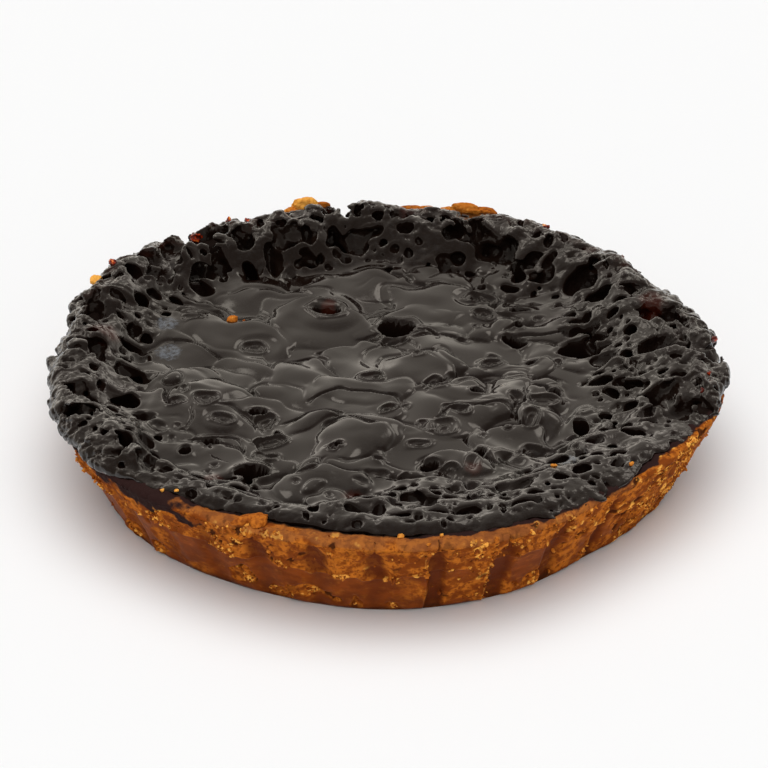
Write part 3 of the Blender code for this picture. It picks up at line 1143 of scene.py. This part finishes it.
def stain_rim(net):
    """How burnt or stained each corner is by the filling, and how far in under its lip."""
    below_rim = net.height - net.top
    burnt = np.maximum(
        1.5 * smooth(32, 18, away_from(net.angle, -150)) * smooth(-4.5, -0.6, below_rim),
        1.3 * smooth(18, 8, away_from(net.angle, 5)) * smooth(-4.0, -0.6, below_rim),
    )
    blotches = net.noise(2.2) + 0.7 * net.noise(1.0)
    under_lip = net.inset - wall_radius(net.angle, net.top) + lip_radius(net.angle) + 0.6 * blotches
    under_lip -= 1.2 * np.maximum(-below_rim, 0) * (net.inset < 1)
    right, left = smooth(34, 14, away_from(net.angle, -36)), smooth(40, 25, away_from(net.angle, -145))
    spread = 0.2 + 0.5 * right + 0.3 * left
    by_froth = 1.1 * smooth(-spread, 0.7, under_lip)
    return np.clip(burnt + by_froth + 0.7 * blotches * (burnt > 0.05) - 0.12, 0, 1), under_lip


def shape_case(rng, grain):
    """The case's net with its looks: places, and what each corner is made of, with the shade and highlight
    painted on it.
    """
    case = bpy.context.scene.tart_case
    net = Case(rng, grain)
    angle, height, top = net.angle, net.height, net.top
    on_wall = net.outside.astype(float)
    coarse, medium, fine = net.noise(2.6), net.noise(1.6), net.noise(0.5)
    # round crumbs with creases between them
    grains = 0.65 * np.abs(net.noise(0.95)) + 0.5 * np.abs(net.noise(0.6)) - 0.4
    # the right of the front broke when the tin came off
    broken = smooth(17, 9, away_from(angle, -30) + 3 * net.noise(3.0))
    wave = np.sin(5 * angle + 0.7) + 1.0 * net.noise(3.6, 2.0) + 0.5 * net.noise(1.3)
    edge = case.band_height / MM + wave
    band = smooth(-0.25, 0.25, height - edge)
    groove, ridge, depth, browned_and_shaded = press_flutes(net)
    groove = groove * (1 - 0.6 * broken)
    torn, hollow = tear_skin(net, groove, band)
    bare = np.maximum(np.maximum(torn, band), broken)
    crumbly = crumble(net, on_wall, bare, coarse, groove * browned_and_shaded, band)
    lengthwise = net.noise(1.2, 4.0) + 0.35 * fine
    split = broken * np.exp(-((lengthwise / 0.15) ** 2)) * smooth(-0.4, 0.3, net.noise(3.0))
    pit = smooth(0.95, 1.25, net.noise(0.8) + 0.3 * medium) * crumbly * on_wall
    # how far the wall stands out from plain: its flutes, then the band, then its unevenness
    share = height / (case.height / MM)
    out = -depth * groove + 0.22 * ridge + 0.1 * (1 - groove) * np.sin(math.pi * np.clip(share, 0, 1))
    out += -case.band_step / MM * (1 - band) + 0.2 * np.exp(-(((height - edge - 0.45) / 0.45) ** 2))
    out += 0.22 * net.noise(5.0) - 0.25 * torn - 0.4 * hollow - 0.6 * split - 0.4 * pit
    rough = 0.22 * coarse + 0.22 * medium + (0.5 - 0.3 * broken) * grains + 0.08 * fine
    out += crumbly * rough + (1 - crumbly) * 0.05 * medium
    foot = 0.45 + 0.55 * smooth(0, 1.2, height)
    net.radius = net.radius + on_wall * foot * out
    # the grains that stand out are pale, most of all along the band's torn edge, and less so in the grooves,
    # which is painted shade
    seam = np.exp(-(((height - edge - 0.3) / 0.75) ** 2))
    favoured = medium + 0.9 * seam + 0.8 * torn + 0.6 * broken - 0.5 * groove * browned_and_shaded
    light = crumbly * smooth(0.02, 0.35, grains) * smooth(-0.1, 0.75, favoured)
    # painted highlight along the sharp edge beside each groove
    light = np.maximum(light, 0.55 * ridge * on_wall)
    stain, under_lip = stain_rim(net)
    on_rim = (height > 0.97 * top - 0.9) * (net.inset > 0) * ~net.flat
    sunk = 0.5 * smooth(1.0, 0.0, net.inset)
    net.height = net.height + on_rim * (0.15 * coarse + 0.2 * medium + 0.35 * grains + 0.1 * fine - sunk)
    under_filling = np.maximum(smooth(2.9, 3.6, net.inset), smooth(1.0, 2.0, under_lip))
    looks = {
        "crumbly": crumbly,
        # pale grains, with a painted highlight on the flutes' sharp edges
        "light": light,
        # how dark the grooves are coloured: browner pastry with painted shade
        "groove": groove * browned_and_shaded * on_wall,
        "rim": smooth(-0.7, 0.0, height - top + 0.5 * medium) * ~net.flat * (1 - 0.7 * broken),
        "stain": stain,
        # painted shade in splits, pits, torn hollows and the creases between grains
        "crevice_shade": np.clip(split + pit + 0.9 * hollow + 0.5 * crumbly * smooth(-0.08, -0.26, grains), 0, 1),
        # painted shade along the foot, where the case meets the table
        "foot": 1 - smooth(0.1, 1.1, height + 0.5 * medium),
        "soaked": np.where(net.flat, height > 2, under_filling),
    }
    return net, {name: values + 0 * angle for name, values in looks.items()}


def shortcrust(name):
    """Butter shortcrust baked in a tin: where the tin touched it the skin is smooth, waxy and caramel brown,
    and where it tore or rose above the tin it is matt, grainy and yellow-orange. Shade is painted into its
    grooves, cracks and foot, and a highlight along the flutes' sharp edges."""
    colours = bpy.context.scene.tart_colours
    material, tree, output = new_material(name)
    place = tree.nodes.new("ShaderNodeTexCoord").outputs["Object"]
    drawn = add_node(tree, "ShaderNodeMapping", Vector=place, Scale=(1, 1, 1.7)).outputs["Vector"]
    read = {
        key: add_node(tree, "ShaderNodeAttribute", {"attribute_name": key}).outputs["Fac"]
        for key in ("crumbly", "light", "groove", "rim", "stain", "crevice_shade", "foot", "soaked")
    }
    # patterns by the size of their marks in millimetres; the skin's are drawn out along the wall
    noise = {
        key: add_node(
            tree, "ShaderNodeTexNoise", Vector=where, Scale=1 / (size * MM), Detail=detail, Roughness=0.6
        ).outputs["Fac"]
        for key, where, size, detail in (
            ("mottled", drawn, 3.6, 3), ("streaked", drawn, 1.5, 3), ("clumped", place, 2.2, 4),
            ("grainy", place, 0.75, 2), ("ragged", place, 0.9, 3), ("gritty", place, 0.45, 3),
        )
    }
    ragged = add_node(
        tree, "ShaderNodeMath", SCALE_AND_ADD,
        Value_0=noise["ragged"], Value_1=0.7, Value_2=read["stain"],
    ).outputs["Value"]
    specks = add_node(
        tree, "ShaderNodeMath", SCALE_AND_ADD,
        Value_0=noise["grainy"], Value_1=0.8, Value_2=read["light"],
    ).outputs["Value"]
    rough_rim = add_node(
        tree, "ShaderNodeMath", SCALE_AND_ADD,
        Value_0=noise["grainy"], Value_1=0.7, Value_2=read["rim"],
    ).outputs["Value"]
    # each layer lies over those before it: what shows it, from where to where, how much, and its colour
    skin = (
        (noise["mottled"], 0.35, 0.65, 1, colours.skin),
        (noise["streaked"], 0.52, 0.74, 0.6, colours.skin_light),
    )
    crumb = (
        (noise["clumped"], 0.4, 0.6, 1, colours.crumb),
        (noise["grainy"], 0.46, 0.36, 0.9, colours.crumb_dark),
        (specks, 0.7, 1.15, 1, colours.crumb_light),
    )
    mixed = []
    for base, layers in ((colours.skin_dark, skin), (colours.crumb_dark, crumb)):
        colour = (*base, 1)
        for layer in layers:
            colour = lay_over(tree, colour, *layer)
        mixed.append(colour)
    share = add_node(tree, "ShaderNodeMapRange", SMOOTHLY, Value=read["crumbly"], From_Min=0.1, From_Max=0.6)
    colour = add_node(
        tree, "ShaderNodeMix", MIX_COLOURS, _0=share.outputs["Result"], _6=mixed[0], _7=mixed[1]
    ).outputs[2]
    for layer in (
        # pale grains, and a painted highlight along the flutes' sharp edges
        (read["light"], 0.5, 1, 0.3, colours.crumb_light),
        # grooves: browner pastry with painted shade
        (read["groove"], 0.05, 0.8, 0.8, colours.groove),
        (rough_rim, 0.5, 1.35, 0.55, colours.rim),
        # painted shade in cracks, pits, hollows and between grains, and along the foot
        (read["crevice_shade"], 0.2, 0.8, 0.9, colours.crevice_shade),
        (read["foot"], 0, 1, 0.7, colours.crevice_shade),
        (ragged, 0.45, 0.95, 1, colours.stain),
        (read["soaked"], 0, 1, 1, colours.chocolate),
    ):
        colour = lay_over(tree, colour, *layer)
    strength = add_node(tree, "ShaderNodeMapRange", Value=read["crumbly"], To_Min=0.12, To_Max=0.6)
    bump = add_node(
        tree, "ShaderNodeBump", Strength=strength.outputs["Result"], Distance=0.25 * MM,
        Height=noise["gritty"],
    )
    roughness = add_node(
        tree, "ShaderNodeMapRange", SMOOTHLY, Value=read["crumbly"],
        From_Min=0.1, From_Max=0.7, To_Min=0.4, To_Max=0.8,
    )
    shader = add_node(
        tree, "ShaderNodeBsdfPrincipled", Base_Color=colour, IOR=1.45, Specular_IOR_Level=0.06,
        Roughness=roughness.outputs["Result"], Normal=bump.outputs["Normal"],
    )
    tree.links.new(shader.outputs["BSDF"], output.inputs["Surface"])
    return material


def lay_over(tree, under, shown_by, low, high, most, over):
    """One colour over another, from none of it where shown_by is low to most where it is high."""
    share = add_node(
        tree, "ShaderNodeMapRange", SMOOTHLY, Value=shown_by,
        From_Min=low, From_Max=high, To_Max=most,
    )
    mix = add_node(
        tree, "ShaderNodeMix", MIX_COLOURS,
        _0=share.outputs["Result"], _6=under, _7=(*over, 1),
    )
    return mix.outputs[2]


class TART_OT_case(bpy.types.Operator):
    """Makes the fluted pastry case"""

    bl_idname = "tart.case"
    bl_label = "Case"

    def execute(self, context):
        case = context.scene.tart_case
        net, looks = shape_case(np.random.default_rng(case.seed), case.grain / MM)
        places = net.places()
        rows, columns = places.shape[:2]
        index = np.arange(rows * columns).reshape(rows, columns)
        ahead = np.roll(index, -1, 1)
        quads = np.stack((index[:-1], ahead[:-1], ahead[1:], index[1:]), -1).reshape(-1, 4)
        looks = {name: values.ravel() for name, values in looks.items()}
        material = shortcrust("baked_shortcrust")
        piece = mesh_object("case", places.reshape(-1, 3), quads, material, close="flat", **looks)
        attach(piece, BODY)
        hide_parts("crust")
        return {"FINISHED"}


# ---------------------------------------------------------------- crumbs, bits of pastry and burnt sugar

FROTH_HEIGHT = 18
RAY_LENGTH = 0.04  # metres from where a ray starts to the height of the froth
SIGHT_LINE = 1.73  # how far back a look 30 degrees down goes for each millimetre that it falls
# Bits of pastry: degrees round from +X, mm out, length, width, thickness, turn, lift of the far edge, shade
BITS = (
    (-112.2, 57.1, 5.8, 1.7, 1.2, 28, 0.5, 0.3),
    (-110.3, 56.4, 3.4, 2.4, 1.5, 36, 0.4, 0.4),
    (107.4, 61.4, 4.4, 2.2, 4.2, 16, 0.2, 0.6),
    (104.8, 61.6, 5.0, 2.4, 4.4, 10, 0.2, 0.8),
    (102.2, 61.5, 4.0, 1.8, 3.0, 14, 0.2, 0.4),
    (84.5, 60.7, 6.0, 1.7, 2.4, -6, 0.2, 0.35),
    (80.8, 60.5, 6.0, 1.9, 2.6, -10, 0.2, 0.5),
    (77.2, 60.6, 6.2, 2.1, 3.4, -12, 0.2, 0.6),
    (73.6, 60.4, 6.2, 2.0, 3.0, -18, 0.2, 0.55),
    (70.0, 60.3, 5.8, 1.7, 2.2, -20, 0.2, 0.35),
    (153, 59.4, 2.6, 2.0, 1.6, 60, 0.0, 0.9),
    (145, 33.3, 2.3, 1.5, 2.2, 35, 0.3, 0.5),
    (143.6, 31.4, 0.9, 0.5, 0.5, 80, 0.0, 0.2),
    (-127, 55.4, 0.8, 0.6, 0.5, 10, 0.0, 0.8),
    (-129.5, 56.2, 0.7, 0.6, 0.5, 50, 0.0, 0.8),
    (-87, 56.8, 1.2, 0.8, 0.7, 20, 0.0, 0.7),
    (-80.5, 57.4, 0.8, 0.6, 0.5, 70, 0.0, 0.7),
    (-51.9, 46.0, 1.2, 0.6, 0.5, 5, 0.0, 0.7),
    (-41.6, 55.0, 0.9, 0.7, 0.6, 40, 0.0, 0.6),
)
# Where sugar burnt to amber in the froth, as sight lines from the front pass its height: mm to the
# right, mm back, and the drop's radius
AMBER = (
    (-49.9, 36.7, 0.8), (-35.5, 48.5, 0.9), (-29.7, 55.1, 0.8), (-27.3, 58.2, 0.8), (31.5, 52.8, 0.9),
    (34.6, 56.8, 0.7), (46.1, 39.9, 0.8), (59.1, 7.7, 0.9), (56.6, -5.1, 0.6), (55.2, -11.1, 0.6),
)


def make_lumps(rng, places, halves, detail, turns, rough):
    """Uneven lumps as corners in millimetres, triangles, and which lump each corner is of.

    halves is half of each lump's size along its own three ways, and turns the matrix that lays it.
    """
    bm = bmesh.new()
    bmesh.ops.create_icosphere(bm, subdivisions=detail, radius=1)
    bm.verts.index_update()
    ball = np.array([v.co for v in bm.verts])
    triangles = np.array([[v.index for v in f.verts] for f in bm.faces])
    bm.free()
    count = len(places)
    shaped = ball[None]
    for pitch, share in ((1.8, 1.0), (4.5, 0.5), (9.0, 0.25)):
        waves = rng.normal(size=(count, 4, 3)) * pitch
        bumps = np.sin(waves @ ball.T + rng.uniform(0, math.tau, (count, 4, 1))).sum(1)
        shaped = shaped * (1 + rough * share * bumps)[..., None]
    corners = (shaped * halves[:, None, :]) @ turns + places[:, None, :]
    faces = triangles[None] + (np.arange(count) * len(ball))[:, None, None]
    return corners.reshape(-1, 3), faces.reshape(-1, 3), np.repeat(np.arange(count), len(ball))


def any_way(rng, count):
    """Random rotations."""
    turns = np.linalg.qr(rng.normal(size=(count, 3, 3)))[0]
    return turns * np.linalg.det(turns)[:, None, None]


def surface_at(x, y, slope=0.0):
    """The first place that a ray from above meets on the tart, in millimetres, and its normal.

    With slope the ray runs back as it falls, through the point at the froth's height over x, y.
    """
    way = Vector((0, slope, -1)).normalized()
    start = Vector((x, y, FROTH_HEIGHT)) * MM - way * RAY_LENGTH
    best = None
    for name in ("case", "pool", "froth_left", "froth_right", "froth_back"):
        hit, place, normal, _ = bpy.data.objects[name].ray_cast(start, way)
        if hit and (best is None or (place - start).length < best[0]):
            best = ((place - start).length, np.array(place) / MM, np.array(normal))
    return best[1:] if best else surface_at(0.99 * x, 0.99 * y, slope)


def loose_pastry(name):
    """Dry crumbs of baked shortcrust: matt, from brown through orange to the yellow of the inside."""
    colours = bpy.context.scene.tart_colours
    material, tree, output = new_material(name)
    place = tree.nodes.new("ShaderNodeTexCoord").outputs["Object"]
    shade = add_node(tree, "ShaderNodeAttribute", {"attribute_name": "shade"}).outputs["Fac"]
    grainy = add_node(tree, "ShaderNodeTexNoise", Vector=place, Scale=1 / (0.6 * MM), Detail=3)
    gritty = add_node(tree, "ShaderNodeTexNoise", Vector=place, Scale=1 / (0.3 * MM), Detail=2)
    mottled = add_node(
        tree, "ShaderNodeMath", SCALE_AND_ADD,
        Value_0=grainy.outputs["Fac"], Value_1=0.9, Value_2=shade,
    ).outputs["Value"]
    colour = (*colours.crumb_dark, 1)
    for layer in ((mottled, 0.55, 0.95, 1, colours.crumb), (mottled, 0.95, 1.4, 1, colours.crumb_light)):
        colour = lay_over(tree, colour, *layer)
    bump = add_node(tree, "ShaderNodeBump", Strength=0.5, Distance=0.2 * MM, Height=gritty.outputs["Fac"])
    shader = add_node(
        tree, "ShaderNodeBsdfPrincipled", Base_Color=colour, IOR=1.45, Specular_IOR_Level=0.1,
        Roughness=0.75, Normal=bump.outputs["Normal"],
    )
    tree.links.new(shader.outputs["BSDF"], output.inputs["Surface"])
    return material


def burnt_sugar(name):
    """Sugar burnt to amber: a glossy drop, red-brown where it is deep, with orange and yellow patches set by
    noise that paint light shining through it."""
    colours = bpy.context.scene.tart_colours
    material, tree, output = new_material(name)
    place = tree.nodes.new("ShaderNodeTexCoord").outputs["Object"]
    cloudy = add_node(tree, "ShaderNodeTexNoise", Vector=place, Scale=1 / (0.9 * MM), Detail=2)
    colour = (*colours.amber_dark, 1)
    # amber and yellow over the dark red-brown: partly the sugar's colour, partly painted light shining
    # through it
    for layer in ((0.48, 0.62, 1, colours.amber), (0.62, 0.72, 1, colours.crumb_light)):
        colour = lay_over(tree, colour, cloudy.outputs["Fac"], *layer)
    wavy = add_node(tree, "ShaderNodeTexNoise", Vector=place, Scale=1 / (0.5 * MM), Detail=1)
    bump = add_node(tree, "ShaderNodeBump", Strength=0.3, Distance=0.2 * MM, Height=wavy.outputs["Fac"])
    shader = add_node(
        tree, "ShaderNodeBsdfPrincipled", Base_Color=colour, IOR=1.5, Roughness=0.15,
        Normal=bump.outputs["Normal"],
    )
    tree.links.new(shader.outputs["BSDF"], output.inputs["Surface"])
    return material


class TART_OT_crumbs(bpy.types.Operator):
    """Scatters crumbs over the rough parts of the case, most of them along the band's torn edge"""

    bl_idname = "tart.crumbs"
    bl_label = "Crumbs"

    def execute(self, context):
        case = context.scene.tart_case
        rng = np.random.default_rng(case.seed + 1)
        net, looks = shape_case(np.random.default_rng(case.seed), case.grain / MM)
        places, outward = net.places().reshape(-1, 3), net.outward().reshape(-1, 3)
        covered = (bareness(net.angle) < 0.5) & (net.height > net.top - 2.4)
        free = ~covered * (net.inset < 2.2) * ~net.flat * (net.height > 0.9)
        likely = (looks["light"] * looks["crumbly"]) ** 2 + 0.01 * looks["crumbly"] * (net.inset <= 0)
        likely = likely * (looks["stain"] < 0.4) * free
        likely = (likely * (1 + 1.5 * smooth(110, 60, away_from(net.angle, -90)))).ravel()
        picked = rng.choice(likely.size, case.crumbs, replace=False, p=likely / likely.sum())
        sizes = np.clip(0.19 * np.exp(0.4 * rng.normal(size=case.crumbs)), 0.1, 0.36)[:, None]
        halves = sizes * rng.uniform(0.65, 1.3, (case.crumbs, 3))
        angles = np.broadcast_to(net.angle, net.height.shape).ravel()[picked]
        smaller = 1 - 0.35 * smooth(32, 18, away_from(angles, -25))[:, None]
        sizes *= smaller
        halves *= smaller
        spots = places[picked] + 0.2 * sizes * outward[picked]
        corners, faces, lump = make_lumps(rng, spots, halves, 2, any_way(rng, case.crumbs), 0.2)
        shade = (0.9 * rng.uniform(0, 1, case.crumbs) ** 1.3)[lump]
        piece = mesh_object("crumbs", corners, faces, loose_pastry("baked_crumbs"), shade=shade)
        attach(piece, BODY)
        return {"FINISHED"}


class TART_OT_bits(bpy.types.Operator):
    """Lays the larger bits of pastry on the rim and on the filling, a flake at the front among them"""

    bl_idname = "tart.bits"
    bl_label = "Bits of pastry"

    def execute(self, context):
        rng = np.random.default_rng(context.scene.tart_case.seed + 2)
        context.view_layer.update()
        spots, halves, turns = [], [], []
        for degrees, out, length, width, thickness, turn, lift, _ in BITS:
            place, _ = surface_at(*polar(degrees, out))
            spots.append(place + (0, 0, 0.3 * thickness + 0.25 * width * lift))
            halves.append((length / 2, width / 2, thickness / 2))
            lean = Euler((lift, 0, math.radians(turn))).to_matrix().transposed()
            turns.append(np.array(lean))
        spots, halves, turns = np.array(spots), np.array(halves), np.array(turns)
        corners, faces, lump = make_lumps(rng, spots, halves, 4, turns, 0.07)
        shade = np.array([bit[-1] for bit in BITS])[lump]
        piece = mesh_object("pastry_bits", corners, faces, loose_pastry("pastry_bits"), shade=shade)
        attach(piece, BODY)
        return {"FINISHED"}


class TART_OT_amber(bpy.types.Operator):
    """Sets drops of burnt sugar in the froth"""

    bl_idname = "tart.amber"
    bl_label = "Burnt sugar"

    def execute(self, context):
        rng = np.random.default_rng(context.scene.tart_filling.bubbles + 1)
        context.view_layer.update()
        spots, halves = [], []
        for x, y, radius in AMBER:
            place, normal = surface_at(x, y, SIGHT_LINE)
            spots.append(place - 0.35 * radius * normal)
            halves.append(radius * rng.uniform(0.6, 1.2, 3))
        spots, halves, turns = np.array(spots), np.array(halves), any_way(rng, len(AMBER))
        corners, faces, _ = make_lumps(rng, spots, halves, 3, turns, 0.16)
        piece = mesh_object("amber", corners, faces, burnt_sugar("burnt_sugar"))
        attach(piece, BODY)
        return {"FINISHED"}


# ---------------------------------------------------------------- the stage

TABLE_HALF = 3.0  # metres
# How bright the light tent is: along which axis, from where to where, and the brightness at both.
# The first two light the tart, and the rest show in its gloss.
LIGHTS = (
    ("overhead", "Z", 0.7, 1, 0.2, 3.61),
    ("frontal", "Y", -0.1, -0.9, 0, 1.1),
    ("behind", "Y", -0.3, 0.85, 0.2, 0.8),
    ("low", "Z", 0, 0.5, 2.2, 1),
    ("beside", "X", -0.75, 0.6, 1.2, 0.85),
)
LAMPS = ((-0.42, 0.5, 0.76), (0.36, 0.62, 0.7))  # the way to each lamp that shows in the gloss
LAMP_COLOUR = (1, 0.92, 0.81, 1)
# The camera: how far off and how steeply it looks down, metres and degrees, and what it looks at
CAMERA_DISTANCE, CAMERA_TILT = 0.48, 30
CAMERA_HEIGHT = 0.008  # of the point that the distance is measured from
CAMERA_TARGET = (0.0004, 0.0087, 0.008)
LENS, SENSOR = 126, 36  # millimetres


class TART_OT_stage(bpy.types.Operator):
    """Sets the pale table, the soft studio light and the camera"""

    bl_idname = "tart.stage"
    bl_label = "Stage"

    def execute(self, context):
        scene = context.scene
        bm = bmesh.new()
        bmesh.ops.create_grid(bm, x_segments=1, y_segments=1, size=TABLE_HALF)
        mesh = bpy.data.meshes.new("table")
        bm.to_mesh(mesh)
        bm.free()
        table = bpy.data.objects.new("table", mesh)
        scene.collection.objects.link(table)
        material, tree, output = new_material("matt_white_board")
        shader = add_node(
            tree, "ShaderNodeBsdfPrincipled", Base_Color=(*scene.tart_colours.floor, 1), Roughness=0.8
        )
        tree.links.new(shader.outputs["BSDF"], output.inputs["Surface"])
        mesh.materials.append(material)
        self.light(scene)
        self.aim_camera(scene)
        scene.view_settings.view_transform = "Standard"
        return {"FINISHED"}

    def light(self, scene):
        """A light tent: white all round for what it lights, and for gloss brightest low down behind."""
        world = bpy.data.worlds.new("light_tent")
        world.use_nodes = True
        tree = world.node_tree
        tree.nodes.clear()
        output = tree.nodes.new("ShaderNodeOutputWorld")
        place = tree.nodes.new("ShaderNodeTexCoord")
        split = add_node(tree, "ShaderNodeSeparateXYZ", Vector=place.outputs["Generated"])
        share = {
            key: add_node(
                tree, "ShaderNodeMapRange", SMOOTHLY, Value=split.outputs[axis],
                From_Min=start, From_Max=end, To_Min=first, To_Max=last,
            ).outputs["Result"]
            for key, axis, start, end, first, last in LIGHTS
        }
        diffuse = add_node(
            tree, "ShaderNodeMath", {"operation": "ADD"}, Value_0=share["overhead"], Value_1=share["frontal"]
        )
        gloss = share["beside"]
        for key in ("behind", "low"):
            product = add_node(
                tree, "ShaderNodeMath", {"operation": "MULTIPLY"}, Value_0=gloss, Value_1=share[key]
            )
            gloss = product.outputs["Value"]
        for lamp in LAMPS:
            facing = add_node(
                tree, "ShaderNodeVectorMath", {"operation": "DOT_PRODUCT"},
                Vector_0=place.outputs["Generated"], Vector_1=lamp,
            )
            disc = add_node(
                tree, "ShaderNodeMapRange", SMOOTHLY, Value=facing.outputs["Value"],
                From_Min=0.985, From_Max=0.995, To_Min=0, To_Max=2,
            )
            total = add_node(
                tree, "ShaderNodeMath", {"operation": "ADD"}, Value_0=gloss, Value_1=disc.outputs["Result"]
            )
            gloss = total.outputs["Value"]
        lit = add_node(tree, "ShaderNodeBackground", Strength=diffuse.outputs["Value"])
        mirrored = add_node(tree, "ShaderNodeBackground", Color=LAMP_COLOUR, Strength=gloss)
        ray = tree.nodes.new("ShaderNodeLightPath")
        both = add_node(
            tree, "ShaderNodeMixShader", Fac=ray.outputs["Is Glossy Ray"],
            Shader_1=lit.outputs["Background"], Shader_2=mirrored.outputs["Background"],
        )
        tree.links.new(both.outputs["Shader"], output.inputs["Surface"])
        scene.world = world

    def aim_camera(self, scene):
        """Looks down from the front on the tart's middle."""
        camera = bpy.data.objects.new("camera", bpy.data.cameras.new("camera"))
        scene.collection.objects.link(camera)
        camera.data.lens = LENS
        camera.data.sensor_width = SENSOR
        camera.data.clip_start = 0.01
        tilt = math.radians(CAMERA_TILT)
        back, up = CAMERA_DISTANCE * math.cos(tilt), CAMERA_DISTANCE * math.sin(tilt)
        camera.location = Vector((0, -back, CAMERA_HEIGHT + up))
        way = Vector(CAMERA_TARGET) - camera.location
        camera.rotation_euler = way.to_track_quat("-Z", "Y").to_euler()
        scene.camera = camera


class TART_PT_panel(bpy.types.Panel):
    """Lists the tart's pieces"""

    bl_idname = "TART_PT_panel"
    bl_label = "Chocolate tart"
    bl_space_type = "VIEW_3D"
    bl_region_type = "UI"
    bl_category = "Tart"

    def draw(self, context):
        for step in OPERATORS:
            self.layout.operator(step.bl_idname)
        for group in (context.scene.tart_case, context.scene.tart_filling, context.scene.tart_colours):
            box = self.layout.box()
            for name in group.bl_rna.properties.keys():
                if name not in ("rna_type", "name"):
                    box.prop(group, name)


GROUPS = {"tart_case": TartCase, "tart_filling": TartFilling, "tart_colours": TartColours}
OPERATORS = (
    TART_OT_stage,
    TART_OT_case,
    TART_OT_filling,
    TART_OT_crumbs,
    TART_OT_bits,
    TART_OT_amber,
)


def register():
    for cls in (*GROUPS.values(), *OPERATORS, TART_PT_panel):
        bpy.utils.register_class(cls)
    for name, group in GROUPS.items():
        setattr(bpy.types.Scene, name, bpy.props.PointerProperty(type=group))


def unregister():
    for name in GROUPS:
        delattr(bpy.types.Scene, name)
    for cls in (TART_PT_panel, *reversed(OPERATORS), *reversed(list(GROUPS.values()))):
        bpy.utils.unregister_class(cls)


def main():
    register()
    bpy.ops.tart.stage()
    bpy.ops.tart.case()
    bpy.ops.tart.filling()
    bpy.ops.tart.crumbs()
    bpy.ops.tart.bits()
    bpy.ops.tart.amber()


if __name__ == "__main__":
    main()
